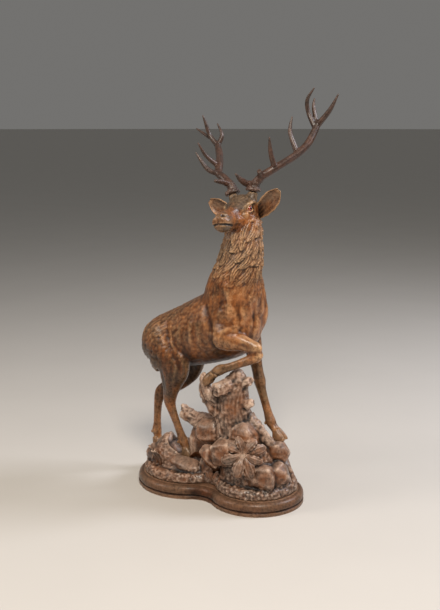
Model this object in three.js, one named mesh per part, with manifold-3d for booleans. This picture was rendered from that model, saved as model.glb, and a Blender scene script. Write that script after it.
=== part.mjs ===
// Carved and stained wooden stag, one foreleg raised on a tree stump, on rockwork and a moulded plinth.
// Millimetres. X is the stag's heading, Y its left side, Z up. The origin is on the plinth's underside.
import * as THREE from 'three';
import { ConvexGeometry } from 'three/addons/geometries/ConvexGeometry.js';
import { mergeVertices } from 'three/addons/utils/BufferGeometryUtils.js';
import Module from 'manifold-3d';

const wasm = await Module();
wasm.setup();

// Fit between pieces
const GAP = 0.3;

// Plinth: two round lobes joined by a hollow waist on each side
const LOBE_SPACING = 115;
const PLINTH_REAR_R = 150;
const PLINTH_FRONT_R = 129;
const PLINTH_WAIST_R = 65;
const PLINTH_H = 37;
const PLINTH_PROFILE = [
  [1, 0], [0, 3], [0, 8], [3.6, 10], [3.6, 13], [0, 17], [0.5, 25], [4.5, 32], [12, 36.2], [20, PLINTH_H],
];

// Rockwork: a gravel band that follows the plinth, two mounds, boulders, stump and leaves
const ROCK_REAR_R = 131;
const ROCK_FRONT_R = 111;
const ROCK_WAIST_R = 35;
const ROCK_Z = PLINTH_H + GAP;
const GRAVEL_PROFILE = [
  [3, ROCK_Z], [0, ROCK_Z + 5], [0.5, ROCK_Z + 14], [4, ROCK_Z + 21], [10, ROCK_Z + 25], [20, ROCK_Z + 26],
];

// Stag
const HEAD_AT = [60.5, 0, 782.5];
const HEAD_TURN = -81;
const HEAD_LIFT = 3.5;
const HEAD_TILT = 9.7;
const EYE_R = 8.2;
const EYE_PLACE = [15, 31.5, 2.5];
const EAR_BASE = [-30, 27, -16];
const EAR_TIP = [-24, 106, 42];
const EAR_WIDE = [11, 20, 25, 26, 21, 7];
const PEDICLE_PLACE = [-18, 25, 26];
const PEDICLE_R = 12.5;
const PEDICLE_TOP = 20;
const BURR_R = 19;

const wood = (hex, roughness) => new THREE.MeshStandardMaterial({ color: hex, roughness, metalness: 0 });
const STAINED = wood('#7a4526', 0.45);
const ROCK_WOOD = wood('#6f4a35', 0.55);
const PLINTH_WOOD = wood('#6b3a1f', 0.4);
const ANTLER_WOOD = wood('#8a6647', 0.5);
const GLASS = new THREE.MeshStandardMaterial({ color: '#3a0f06', roughness: 0.08, metalness: 0 });

const V = (a) => new THREE.Vector3(a[0], a[1], a[2]);

// A repeatable scatter in 0..1 for the boulders' corners
function scatter(seed) {
  const s = Math.sin(seed * 127.1 + 311.7) * 43758.5453;
  return s - Math.floor(s);
}

// A smooth value through a list of numbers, u running from 0 to the last index
function through(list, u) {
  const n = list.length - 1;
  const i = Math.min(Math.floor(u), n - 1);
  const t = u - i;
  const b = list[i];
  const c = list[i + 1];
  const a = i > 0 ? list[i - 1] : 2 * b - c;
  const d = i + 2 <= n ? list[i + 2] : 2 * c - b;
  return b + 0.5 * t * (c - a + t * (2 * a - 5 * b + 4 * c - d + t * (3 * (b - c) + d - a)));
}

// A closed skin over rings of points, with a flat fan at each end
function skin(rings) {
  const n = rings[0].length;
  const points = [];
  const faces = [];
  rings.forEach((ring) => ring.forEach((p) => points.push(p.x, p.y, p.z)));
  for (let r = 0; r + 1 < rings.length; r++) {
    for (let k = 0; k < n; k++) {
      const a = r * n + k;
      const b = r * n + (k + 1) % n;
      faces.push(a, b, b + n, a, b + n, a + n);
    }
  }
  [0, rings.length - 1].forEach((r) => {
    const mid = new THREE.Vector3();
    rings[r].forEach((p) => mid.addScaledVector(p, 1 / n));
    const m = points.length / 3;
    points.push(mid.x, mid.y, mid.z);
    for (let k = 0; k < n; k++) {
      const a = r * n + k;
      const b = r * n + (k + 1) % n;
      if (r === 0) faces.push(m, b, a);
      else faces.push(m, a, b);
    }
  });
  const g = new THREE.BufferGeometry();
  g.setAttribute('position', new THREE.Float32BufferAttribute(points, 3));
  g.setIndex(faces);
  return g;
}

// A limb: stations [x, y, z, half width, half depth, turn], width measured along the side direction
// and the side turned about Z by the station's turn in degrees.
function limb(stations, { sides = 10, fine = 2, side = [0, 1, 0], square = 1, grow = 0 } = {}) {
  const column = (j) => stations.map((s) => s[j] ?? 0);
  const columns = [0, 1, 2, 3, 4, 5].map(column);
  const at = (u) => columns.map((c) => through(c, u));
  const rings = [];
  const count = (stations.length - 1) * fine;
  for (let r = 0; r <= count; r++) {
    const u = r / fine;
    const here = at(u);
    const ahead = at(Math.min(u + 0.05, stations.length - 1));
    const behind = at(Math.max(u - 0.05, 0));
    const along = V(ahead).sub(V(behind)).normalize();
    const across = V(side).applyAxisAngle(new THREE.Vector3(0, 0, 1), THREE.MathUtils.degToRad(here[5]));
    across.addScaledVector(along, -across.dot(along)).normalize();
    const front = new THREE.Vector3().crossVectors(along, across);
    const ring = [];
    for (let k = 0; k < sides; k++) {
      const a = (2 * Math.PI * (k + (sides > 4 ? 0.5 : 0))) / sides;
      const c = Math.sign(Math.cos(a)) * Math.abs(Math.cos(a)) ** square;
      const s = Math.sign(Math.sin(a)) * Math.abs(Math.sin(a)) ** square;
      const p = V(here).addScaledVector(across, c * (here[3] + grow));
      ring.push(p.addScaledVector(front, s * (here[4] + grow)));
    }
    rings.push(ring);
  }
  return skin(rings);
}

// A muscle or cheek: a ball stretched to three half sizes, turned, and set at a place
function swell(at, half, turn = [0, 0, 0], detail = 12) {
  const g = new THREE.SphereGeometry(1, detail, Math.round(detail * 0.66));
  g.scale(half[0], half[1], half[2]);
  const e = new THREE.Euler(...turn.map(THREE.MathUtils.degToRad));
  g.applyMatrix4(new THREE.Matrix4().makeRotationFromEuler(e));
  g.translate(at[0], at[1], at[2]);
  return g;
}

// A boulder: the hull of scattered points on a boxy ball, its top cut to a level where one is given
function boulder(at, half, seed, top = Infinity, corners = 15) {
  const points = [];
  for (let k = 0; k < corners; k++) {
    const z = 1 - (2 * (k + 0.5)) / corners;
    const a = k * 2.4 + scatter(seed + k) * 0.9;
    const r = Math.sqrt(1 - z * z);
    const grow = 0.88 + 0.26 * scatter(seed * 3 + k);
    const p = new THREE.Vector3(r * Math.cos(a), r * Math.sin(a), z);
    const box = 1 / Math.max(Math.abs(p.x), Math.abs(p.y), Math.abs(p.z));
    p.multiplyScalar(grow * (0.62 + 0.38 * box) * 0.92);
    p.set(at[0] + p.x * half[0], at[1] + p.y * half[1], at[2] + p.z * half[2]);
    p.z = Math.max(Math.min(p.z, top), ROCK_Z + 2);
    points.push(p);
  }
  return new ConvexGeometry(points);
}

// A leaf: a thin blade from its base along a heading, widest in the middle, its tip curling over
function leaf(base, heading, normal, length, width, curl, thick = 3.2) {
  const go = V(heading).normalize();
  const up = V(normal).addScaledVector(go, -V(normal).dot(go)).normalize();
  const side = new THREE.Vector3().crossVectors(up, go);
  const stations = [];
  const steps = 2;
  for (let k = 0; k <= steps; k++) {
    const t = k / steps;
    const a = curl * t * t;
    const p = V(base).addScaledVector(go, length * t * Math.cos(a * 0.6));
    p.addScaledVector(up, -length * t * Math.sin(a * 0.6));
    const w = width * Math.max(0.16, Math.sin(Math.PI * (0.1 + 0.88 * t)) ** 0.8);
    stations.push([p.x, p.y, p.z, w, thick * (k === steps ? 0.5 : 1), 0]);
  }
  return limb(stations, { sides: 4, fine: 1, side: side.toArray() });
}

// Turns a closed geometry into a solid
function solid(geometry) {
  const g = geometry.index ? geometry.toNonIndexed() : geometry.clone();
  const bare = new THREE.BufferGeometry().setAttribute('position', g.getAttribute('position'));
  const merged = mergeVertices(bare, 1e-3);
  const made = new wasm.Manifold(new wasm.Mesh({
    numProp: 3,
    vertProperties: new Float32Array(merged.attributes.position.array),
    triVerts: new Uint32Array(merged.index.array),
  }));
  if (made.volume() > 0) return made;
  const turned = new Uint32Array(merged.index.array);
  for (let i = 0; i < turned.length; i += 3) {
    [turned[i + 1], turned[i + 2]] = [turned[i + 2], turned[i + 1]];
  }
  return new wasm.Manifold(new wasm.Mesh({
    numProp: 3,
    vertProperties: new Float32Array(merged.attributes.position.array),
    triVerts: turned,
  }));
}

// Joins closed geometries into one solid
function join(geometries) {
  return geometries.map(solid).reduce((whole, next) => whole.add(next));
}

// A named piece from a solid or a geometry
function piece(name, shape, material) {
  let g = shape;
  if (!shape.isBufferGeometry) {
    const m = shape.getMesh();
    g = new THREE.BufferGeometry();
    const xyz = new Float32Array((m.vertProperties.length / m.numProp) * 3);
    for (let i = 0; i * m.numProp < m.vertProperties.length; i++) {
      for (let j = 0; j < 3; j++) xyz[i * 3 + j] = m.vertProperties[i * m.numProp + j];
    }
    g.setAttribute('position', new THREE.BufferAttribute(xyz, 3));
    g.setIndex(new THREE.BufferAttribute(new Uint32Array(m.triVerts), 1));
  }
  g.computeVertexNormals();
  const mesh = new THREE.Mesh(g, material);
  mesh.name = name;
  return mesh;
}

// The two-lobed outline, drawn in by an inset: round ends, hollow waist on both sides
function lobed(rearR, frontR, waistR, inset, z, count = 12) {
  const r1 = rearR + waistR;
  const r2 = frontR + waistR;
  const wx = (r1 * r1 - r2 * r2) / (4 * LOBE_SPACING);
  const wy = Math.sqrt(r1 * r1 - (wx + LOBE_SPACING) ** 2);
  const toRear = Math.atan2(-wy, -LOBE_SPACING - wx);
  const toFront = Math.atan2(-wy, LOBE_SPACING - wx);
  const rearA = Math.atan2(wy, wx + LOBE_SPACING);
  const frontA = Math.atan2(wy, wx - LOBE_SPACING);
  const ring = [];
  const arc = (cx, cy, r, from, to, n) => {
    for (let k = 0; k < n; k++) {
      const a = from + ((to - from) * k) / n;
      ring.push(new THREE.Vector3(cx + r * Math.cos(a), cy + r * Math.sin(a), z));
    }
  };
  arc(LOBE_SPACING, 0, frontR - inset, -frontA, frontA, count * 2);
  arc(wx, wy, waistR + inset, toFront, toRear, count / 2);
  arc(-LOBE_SPACING, 0, rearR - inset, rearA, 2 * Math.PI - rearA, count * 2);
  arc(wx, -wy, waistR + inset, -toRear, -toFront, count / 2);
  return ring;
}

function lobedBoard(rearR, frontR, waistR, profile, count) {
  return skin(profile.map(([inset, z]) => lobed(rearR, frontR, waistR, inset, z, count)));
}

// Plinth
const board = lobedBoard(PLINTH_REAR_R, PLINTH_FRONT_R, PLINTH_WAIST_R, PLINTH_PROFILE, 8);
const plinth = piece('plinth', board, PLINTH_WOOD);

// Ground: gravel band, front mound under the stump, low rear mound under the hind feet
const ground = [
  lobedBoard(ROCK_REAR_R, ROCK_FRONT_R, ROCK_WAIST_R, GRAVEL_PROFILE, 6),
  limb([
    [104, 2, 44, 92, 96], [100, -2, 90, 84, 88], [92, -6, 135, 72, 78], [82, -10, 178, 58, 62],
    [74, -14, 212, 42, 44],
  ], { sides: 12, fine: 1 }),
  limb([
    [-135, 0, 44, 116, 116], [-140, 0, 62, 104, 108], [-142, 0, 76, 84, 92], [-140, 2, 80, 40, 50],
  ], { sides: 12, fine: 1 }),
];
const boulders = [
  boulder([158, 24, 138], [56, 46, 42], 3, 172, 14),
  boulder([-10, -50, 182], [50, 40, 42], 11, 222, 16),
  boulder([111, -50, 197], [54, 38, 38], 23, 234, 16),
  boulder([168, -46, 86], [50, 42, 46], 37, 134, 16),
  boulder([194, -10, 90], [32, 38, 44], 41, 128, 12),
  boulder([20, -78, 124], [36, 28, 40], 53, 170, 12),
  boulder([66, -86, 146], [40, 28, 42], 61, 190, 14),
  boulder([-2, -50, 84], [44, 22, 44], 67, 130, 10),
  boulder([-78, -64, 70], [66, 38, 28], 71, 95, 16),
  boulder([-238, 16, 54], [38, 42, 24], 83, 72, 10),
  boulder([-194, -50, 66], [44, 40, 40], 97, 104, 12),
  boulder([-58, -14, 132], [58, 42, 64], 131, 194, 10),
  boulder([-150, 62, 70], [70, 44, 34], 101, 94, 10),
  boulder([30, 62, 108], [70, 42, 66], 109, 168, 10),
  boulder([140, 80, 76], [56, 28, 40], 113, 112, 10),
];

// Stump: a broken trunk with a sawn limb towards the right, stubs and spreading roots
const round = { sides: 6, fine: 1, side: [1, 0, 0] };
const stump = [
  limb([[62, -22, 120, 54, 48], [60, -26, 180, 52, 46], [58, -31, 230, 52, 42], [60, -36, 270, 48, 38],
    [70, -38, 310, 38, 32], [77, -38, 335, 30, 26], [80, -38, 354, 20, 16], [82, -38, 364, 8, 7]],
  { ...round, sides: 9 }),
  limb([[78, -34, 330, 20, 20], [66, -62, 324, 20, 20], [56, -86, 319, 19, 19], [50, -99, 317, 17.5, 17.5]],
    round),
  limb([[84, -34, 322, 17, 17], [102, -38, 334, 14, 14], [118, -41, 341, 13, 13],
    [126, -42, 343, 11.5, 11.5]], round),
  limb([[78, -30, 268, 20, 20], [104, -36, 276, 15, 15], [122, -40, 283, 10, 11], [132, -42, 286, 8.5, 9]],
    round),
  limb([[44, -36, 232, 26, 26], [16, -54, 258, 22, 22], [-4, -62, 284, 17, 17], [-13, -66, 306, 14, 14],
    [-18, -68, 321, 8, 8]], round),
  limb([[32, -52, 262, 18, 18], [16, -72, 290, 15, 14], [6, -80, 310, 13, 12], [-2, -80, 338, 10, 10],
    [-6, -80, 350, 6, 6]], round),
  limb([[40, -20, 182, 32, 28], [-10, -18, 194, 26, 22], [-60, -20, 200, 20, 18], [-104, -24, 206, 15, 13],
    [-126, -28, 219, 8, 8]], round),
  limb([[84, -20, 232, 26, 26], [120, -16, 210, 21, 20], [146, -8, 186, 17, 16], [166, 0, 164, 11, 11]],
    round),
];

// Leaves: a rosette on the front rocks, a cluster at the rear right and a grass tuft at the waist
function leafRing(at, normal, count, long, wide, first) {
  const out = V(normal).normalize();
  const level = new THREE.Vector3(-out.y, out.x, 0).normalize();
  const rise = new THREE.Vector3().crossVectors(out, level);
  const leaves = [];
  for (let k = 0; k < count; k++) {
    const a = (2 * Math.PI * k) / count + first;
    const go = level.clone().multiplyScalar(Math.cos(a)).addScaledVector(rise, Math.sin(a));
    go.addScaledVector(out, 0.18);
    const base = V(at).addScaledVector(go, 4 + 0.5 * k).toArray();
    leaves.push(leaf(base, go.toArray(), normal, long * (0.86 + 0.28 * scatter(k + count)), wide, 1.15, 4.2));
  }
  return leaves;
}
const rosette = leafRing([136, -86, 156], [0.52, -0.74, 0.42], 8, 70, 18, 0.25);
const cluster = [219, 230, 241, 252].map((turn, k) => {
  const out = [Math.cos(THREE.MathUtils.degToRad(turn)), Math.sin(THREE.MathUtils.degToRad(turn))];
  const base = [-LOBE_SPACING + 104 * out[0], 104 * out[1], 54];
  return leaf(base, [-0.2 * out[0], -0.2 * out[1], 0.95], [...out, 0.3], 52 + 8 * (k % 2), 13, -0.7, 5);
});
const tuft = [-0.5, -0.1, 0.4].map((lean, k) =>
  leaf([8 + k * 5, -66, 46], [lean, -0.25, 0.9], [0, -1, 0.2], 36, 8, 0.6, 4));
const carvedGround = join([...ground, ...boulders, ...stump, ...rosette, ...cluster, ...tuft]);
const below = new THREE.BoxGeometry(900, 700, 200);
below.translate(0, 0, ROCK_Z - 100);

// Stag: trunk, neck and head
const TRUNK = [
  [-270, 0, 396, 12, 14], [-260, 0, 395, 42, 44], [-236, 0, 394, 62, 64], [-196, 0, 400, 70, 76],
  [-150, 0, 413, 68, 82], [-100, 0, 431, 69, 88], [-47, 0, 452, 73, 94], [10, 0, 476, 74, 97],
  [56, 0, 496, 67, 90], [90, 0, 507, 52, 68], [107, 0, 511, 22, 30],
];
const NECK = [
  [16, 0, 462, 62, 84, 0], [26, 0, 520, 66, 86, -6], [38, 0, 580, 66, 82, -20], [54, 0, 630, 60, 66, -40],
  [64, -1, 676, 54, 58, -58], [69, 0, 718, 47, 51, -70], [68, 4, 752, 42, 45, -78],
  [62, 10, 786, 33, 34, -82],
];
const HEAD = [
  [-48, 0, 4, 12, 12], [-42, 0, 4, 29, 28], [-24, 0, 2, 37, 38], [0, 0, 0, 38, 40], [22, 0, -7, 33, 37],
  [48, 0, -16, 23.5, 31], [72, 0, -21, 20.5, 27], [94, 0, -24, 21.5, 26], [109, 0, -25, 22.5, 24.5],
  [120, 0, -25, 20, 21], [128, 0, -25, 13, 14], [131, 0, -25, 5, 5],
];
const rad = THREE.MathUtils.degToRad;
const headForward = new THREE.Vector3(
  Math.cos(rad(HEAD_TURN)) * Math.cos(rad(HEAD_LIFT)),
  Math.sin(rad(HEAD_TURN)) * Math.cos(rad(HEAD_LIFT)),
  Math.sin(rad(HEAD_LIFT)),
);
const headLeft = new THREE.Vector3(-Math.sin(rad(HEAD_TURN)), Math.cos(rad(HEAD_TURN)), 0);
headLeft.applyAxisAngle(headForward, rad(HEAD_TILT));
const headUp = new THREE.Vector3().crossVectors(headForward, headLeft);
const headFrame = new THREE.Matrix4().makeBasis(headForward, headLeft, headUp).setPosition(V(HEAD_AT));
const onHead = (g) => g.applyMatrix4(headFrame);

// Ear: a cupped blade, its hollow facing forward
function ear(s) {
  const last = EAR_WIDE.length - 1;
  const at = (t, j) => EAR_BASE[j] + (EAR_TIP[j] - EAR_BASE[j]) * t;
  const stations = EAR_WIDE.map((w, k) => {
    const t = k / last;
    const bow = Math.sin(Math.PI * t);
    return [at(t, 0), s * (at(t, 1) + 2 * bow), at(t, 2) - 2 * bow, w, 9 - 5.5 * t];
  });
  const side = [0.15, s * -0.56, 0.8];
  const hollow = stations.slice(1).map((q, k) => [q[0] + 9 - 1.3 * k, q[1], q[2], q[3] * 0.68, 7 - k]);
  const outer = limb(stations, { sides: 7, fine: 1, side });
  const inner = limb(hollow, { sides: 6, fine: 1, side });
  return solid(onHead(outer)).subtract(solid(onHead(inner)));
}

function pedicle(s) {
  const [f, l, u] = PEDICLE_PLACE;
  const root = [f + 2, s * (l - 5), u - PEDICLE_TOP];
  const top = [f - 3, s * (l + 5), u + PEDICLE_TOP];
  return onHead(limb([[...root, PEDICLE_R + 3, PEDICLE_R + 3], [...top, PEDICLE_R, PEDICLE_R]],
    { sides: 10, fine: 1, side: [1, 0, 0] }));
}

// Hoof: two toes side by side on a flat sole
function hoof(at, heading, drop) {
  const go = V([heading[0], heading[1], 0]).normalize();
  const across = new THREE.Vector3(-go.y, go.x, 0);
  const place = (f, s, u) => {
    const p = V([at[0], at[1], at[2] + u]).addScaledVector(go, f);
    return p.addScaledVector(across, s).toArray();
  };
  const toes = [-1, 1].map((s) => limb([
    [...place(-10, s * 5, drop), 7, 9], [...place(-5, s * 6.5, drop * 0.6), 9, 13],
    [...place(-1, s * 7.5, drop * 0.25), 9.5, 17], [...place(1, s * 8, 0), 9.5, 20],
    [...place(2, s * 8, -4), 9.5, 20],
  ], { sides: 6, fine: 1, side: across.toArray() }));
  return toes;
}

const legs = [
  [[-190, -34, 408, 34, 62], [-158, -50, 380, 34, 70], [-130, -58, 345, 30, 56], [-136, -56, 305, 23, 38],
    [-146, -51, 268, 16.5, 24], [-154, -46, 240, 14.5, 20], [-150, -42, 214, 11.5, 14.5],
    [-139, -36, 178, 10, 11.5], [-127, -31, 142, 10.5, 12.5], [-121, -28, 124, 13, 15.5],
    [-114, -26, 108, 11.5, 12.5], [-110, -25, 98, 12, 12]],
  [[-186, 34, 408, 34, 60], [-166, 48, 365, 32, 62], [-168, 52, 318, 27, 48], [-196, 48, 276, 19, 33],
    [-232, 42, 246, 15, 24], [-258, 35, 226, 14, 20], [-264, 29, 198, 11.5, 14], [-262, 22, 160, 10, 11.5],
    [-259, 17, 132, 10.5, 12.5], [-258, 14, 116, 13, 15], [-254, 13, 100, 11.5, 12], [-251, 12, 90, 12, 12]],
  [[44, 44, 500, 24, 46], [50, 52, 455, 24, 34], [62, 54, 405, 20, 27], [74, 52, 366, 15, 18],
    [84, 48, 340, 14, 16], [92, 45, 319, 15.5, 17], [99, 43, 299, 12, 13.5], [110, 41, 272, 10.5, 11.5],
    [124, 39, 238, 10.5, 12], [134, 38, 215, 13, 15], [145, 37, 201, 11.5, 12], [155, 36, 192, 12, 12]],
  [[50, -44, 500, 26, 54], [48, -59, 464, 28, 44], [62, -61, 450, 25, 31], [97, -52, 446, 19, 23],
    [122, -44, 438, 16.5, 19], [140, -38, 430, 16, 18], [151, -35, 424, 9, 10]],
  [[146, -37, 424, 13, 13], [141, -40, 411, 15, 15], [120, -46, 399, 12, 13], [92, -54, 386, 10.5, 11],
    [62, -63, 373, 10.5, 11.5], [44, -69, 366, 13, 14.5], [31, -72, 357, 11.5, 12.5], [23, -76, 348, 12, 12]],
].map((stations) => limb(stations, { sides: 6, fine: 1 }));
const STANDING = [[-106, -24, 82.5], [-248, 12, 72.5], [165, 35, 172.5]];
const hooves = STANDING.flatMap((at) => hoof(at, [1, 0.08], 25));
const soles = STANDING.map((at) => {
  const g = new THREE.BoxGeometry(90, 70, 40);
  g.translate(at[0], at[1], at[2] - 20);
  return g;
});
const footings = STANDING.map((at) => {
  const g = new THREE.CylinderGeometry(1, 1, 70, 8);
  g.rotateX(Math.PI / 2);
  g.scale(39, 28, 1);
  g.translate(at[0] - 3, at[1], at[2] + 35 - GAP);
  return g;
});
const raisedHoof = (grow) => [-1, 1].map((s) => {
  const toe = [
    [27, -75 + s * 4, 356, 7, 9], [20, -78 + s * 6, 346, 9, 12], [13, -81 + s * 7, 335, 9, 13],
    [7, -83 + s * 6, 325, 7, 8],
  ];
  if (grow > 0) toe.push([6, -83.3 + s * 6, 323.5, 6, 7]);
  return limb(toe, { sides: 6, fine: 1, side: [0.2, 1, 0], grow });
});
const muscles = [
  swell([-178, -42, 396], [64, 34, 70], [0, -24, 0], 8),
  swell([-178, 42, 396], [64, 34, 70], [0, -24, 0], 8),
  swell([48, -46, 492], [44, 30, 76], [0, 14, 0], 8),
  swell([62, 51, 512], [46, 34, 72], [0, 14, 0], 8),
  swell([82, 0, 468], [32, 44, 60], [0, 10, 0], 8),
];
const tail = limb([[-256, 0, 436, 14, 12], [-272, 0, 420, 13, 12], [-284, 0, 396, 11, 11],
  [-287, 0, 372, 7, 8], [-286, 0, 356, 3, 3]], { sides: 8, fine: 1 });

// Mane: locks hang in staggered rows round the neck, each swelling from the skin and lifting at its tip
const MANE_ROWS = [[1.9, 6, 48], [3.0, 5, 46], [4.1, 5, 42]];
const neckAt = (u) => [0, 1, 2, 3, 4, 5].map((j) => through(NECK.map((q) => q[j]), u));
function lock(u, angle, long) {
  const place = (du, grow, twist) => {
    const q = neckAt(u + du);
    const across = new THREE.Vector3(0, 1, 0).applyAxisAngle(new THREE.Vector3(0, 0, 1), rad(q[5]));
    const front = new THREE.Vector3(across.y, -across.x, 0);
    return V(q).addScaledVector(across, Math.cos(angle + twist) * q[3] * grow)
      .addScaledVector(front, Math.sin(angle + twist) * q[4] * grow);
  };
  const drop = long / 46;
  const root = place(0.16, 0.95, 0);
  const belly = place(-0.45 * drop, 1, 0.06);
  const tip = place(-drop, 1.05, 0.14);
  const away = belly.clone().sub(V(neckAt(u - 0.45 * drop)));
  const side = new THREE.Vector3().crossVectors(away, new THREE.Vector3(0, 0, 1)).normalize();
  return limb([[...root.toArray(), 6, 3], [...belly.toArray(), 15, 6], [...tip.toArray(), 3, 2]],
    { sides: 4, fine: 1, side: side.toArray() });
}
const mane = MANE_ROWS.flatMap(([u, count, long], row) => {
  const angle = (k) => (2 * Math.PI * (k + (row % 2) * 0.5)) / count + 0.2;
  return Array.from({ length: count }, (_, k) => lock(u, angle(k), long));
});

const skull = [
  onHead(limb(HEAD, { sides: 10, fine: 1 })),
  ...[-1, 1].flatMap((s) => [
    onHead(swell([-8, s * 22, -14], [30, 15, 28], [0, 0, 0], 7)),
    onHead(swell([8, s * 29, 17], [18, 10, 8], [0, 12, s * 10], 7)),
    pedicle(s),
  ]),
  onHead(swell([-20, 0, 22], [22, 26, 18], [0, 0, 0], 8)),
];
const socket = (s) => solid(onHead(swell([EYE_PLACE[0], s * EYE_PLACE[1], EYE_PLACE[2]],
  [EYE_R + GAP, EYE_R + GAP, EYE_R + GAP], [0, 0, 0], 8)));
const figure = join([limb(TRUNK, { sides: 14, fine: 1 }), limb(NECK, { sides: 12, fine: 1 }), ...muscles,
  ...legs, ...hooves, ...raisedHoof(0), tail, ...skull, ...mane]);
const shod = figure.subtract(join(soles));
const stag = shod.add(ear(1)).add(ear(-1)).subtract(socket(1)).subtract(socket(-1));

// Antlers: a beam and its tines, stations as [back, out, up, radius] from the burr
function antler(s, beam, tines) {
  const [f, l, u] = PEDICLE_PLACE;
  const burr = [f - 3, l + 5, u + PEDICLE_TOP + GAP];
  const put = ([back, out, up, r]) => [burr[0] - back, s * (burr[1] + out), burr[2] + up, r, r * 0.9];
  const rise = V([-5, s * 10, 2 * PEDICLE_TOP]).normalize();
  const seat = V([burr[0], s * burr[1], burr[2]]).addScaledVector(rise, GAP);
  const ring = (h, r) => [...seat.clone().addScaledVector(rise, h).toArray(), r, r];
  const coronet = limb([ring(0, BURR_R - 4), ring(3, BURR_R), ring(9, BURR_R - 1), ring(13, 12)],
    { sides: 9, fine: 1, side: [1, 0, 0] });
  const main = limb(beam.map(put), { sides: 6, fine: 1, side: [1, 0, 0] });
  const points = tines.map((t) => limb(t.map(put), { sides: 5, fine: 1, side: [1, 0, 0.2] }));
  const under = limb([ring(0, 70), ring(-60, 70)], { sides: 8, fine: 1, side: [1, 0, 0] });
  return join([coronet, main, ...points].map(onHead)).subtract(solid(onHead(under)));
}
const antlerLeft = antler(1, [
  [0, -2, 8, 13.5], [6, 23, 33, 12.5], [18, 52, 49, 11.5], [45, 76, 64, 11], [80, 100, 84, 11],
  [110, 119, 108, 10.5], [135, 131, 138, 10.5], [150, 139, 161, 9],
], [
  [[0, 0, 20, 9], [-6, -12, 23, 9], [-35, -13, 32, 7], [-66, -11, 47, 2.5]],
  [[4, 24, 33, 9], [-5, 29, 43, 8], [-14, 31, 50, 6.5]],
  [[22, 59, 54, 8.5], [2, 62, 94, 6.5], [-18, 73, 130, 2]],
  [[82, 100, 88, 8.5], [86, 86, 138, 6.5], [90, 86, 161, 5], [95, 93, 187, 2]],
  [[144, 134, 148, 8.5], [140, 120, 196, 6.5], [132, 125, 227, 5.5], [122, 153, 253, 2]],
  [[150, 137, 158, 7.5], [156, 130, 206, 5.5], [160, 134, 232, 2]],
  [[148, 137, 156, 9], [154, 174, 190, 7], [158, 204, 230, 2]],
]);
const antlerRight = antler(-1, [
  [0, -2, 8, 13.5], [1, 2, 22, 13], [6, 22, 45, 12], [18, 45, 62, 11.5], [45, 55, 87, 11],
  [85, 73, 110, 10.5], [120, 92, 133, 10.5], [150, 110, 155, 9],
], [
  [[0, 2, 24, 9], [-8, 9, 30, 9], [-30, 15, 36, 7.5], [-55, 19, 39, 4]],
  [[16, 43, 60, 8.5], [-5, 62, 74, 7], [-14, 74, 97, 5.5], [-20, 86, 125, 2]],
  [[40, 54, 82, 8.5], [10, 73, 114, 6], [-20, 76, 148, 2]],
  [[144, 107, 150, 8.5], [140, 126, 184, 6.5], [130, 129, 217, 5], [122, 131, 240, 2]],
  [[141, 126, 176, 6], [150, 153, 195, 4.5], [158, 177, 212, 2]],
  [[148, 108, 152, 8], [156, 96, 180, 6], [160, 108, 215, 2]],
]);

const eye = (s) => onHead(swell([EYE_PLACE[0], s * EYE_PLACE[1], EYE_PLACE[2]],
  [EYE_R, EYE_R, EYE_R], [0, 0, 0], 8));

const clear = join([...footings, ...raisedHoof(1.2)]);
const rockwork = carvedGround.subtract(solid(below)).subtract(clear);

const model = new THREE.Group();
model.name = 'carved_stag';
model.add(plinth);
model.add(piece('rockwork', rockwork, ROCK_WOOD));
model.add(piece('stag', stag, STAINED));
model.add(piece('antler_left', antlerLeft, ANTLER_WOOD));
model.add(piece('antler_right', antlerRight, ANTLER_WOOD));
model.add(piece('eye_left', eye(1), GLASS));
model.add(piece('eye_right', eye(-1), GLASS));

export default model;
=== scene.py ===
"""Finished look of a carved and stained wooden stag: fine carving, stain, glass eyes, light and camera.

Sizes are in millimetres in the part's own frame (X heading, Y left, Z up) and turn to metres when a
mesh is made.
"""

from __future__ import annotations

import itertools
import logging
import math
from dataclasses import dataclass, field
from enum import Enum
from typing import Iterable, Sequence

import bmesh
import bpy
import numpy as np
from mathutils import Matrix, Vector

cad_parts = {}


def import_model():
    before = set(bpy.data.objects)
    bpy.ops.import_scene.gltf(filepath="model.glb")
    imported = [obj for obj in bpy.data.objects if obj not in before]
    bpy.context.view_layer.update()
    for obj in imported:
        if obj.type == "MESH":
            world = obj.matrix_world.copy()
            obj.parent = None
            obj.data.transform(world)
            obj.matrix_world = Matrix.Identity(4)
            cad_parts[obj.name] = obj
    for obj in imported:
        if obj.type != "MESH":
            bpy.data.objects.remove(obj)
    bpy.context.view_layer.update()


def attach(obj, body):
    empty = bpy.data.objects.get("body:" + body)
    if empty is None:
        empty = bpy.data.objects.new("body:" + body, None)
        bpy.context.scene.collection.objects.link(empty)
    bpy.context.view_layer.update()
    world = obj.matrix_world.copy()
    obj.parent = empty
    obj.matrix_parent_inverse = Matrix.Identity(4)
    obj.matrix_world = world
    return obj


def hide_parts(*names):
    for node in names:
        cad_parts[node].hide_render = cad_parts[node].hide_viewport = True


LOG = logging.getLogger("carved_stag")
Array = np.ndarray
Point = Sequence[float]
Triple = tuple[float, float, float]
Stations = Sequence[Sequence[float]]
MM = 0.001  # metres in a millimetre
GAP = 0.3  # left between neighbouring pieces
BLOCK = 20000  # points compared at once, which keeps memory small


# Numbers and noise


def unit(v: Array) -> Array:
    """Scales vectors to length one.

    Args:
        v: Vectors along the last axis.

    Returns:
        The unit vectors.
    """
    return v / np.maximum(np.linalg.norm(v, axis=-1, keepdims=True), 1e-9)


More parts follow.
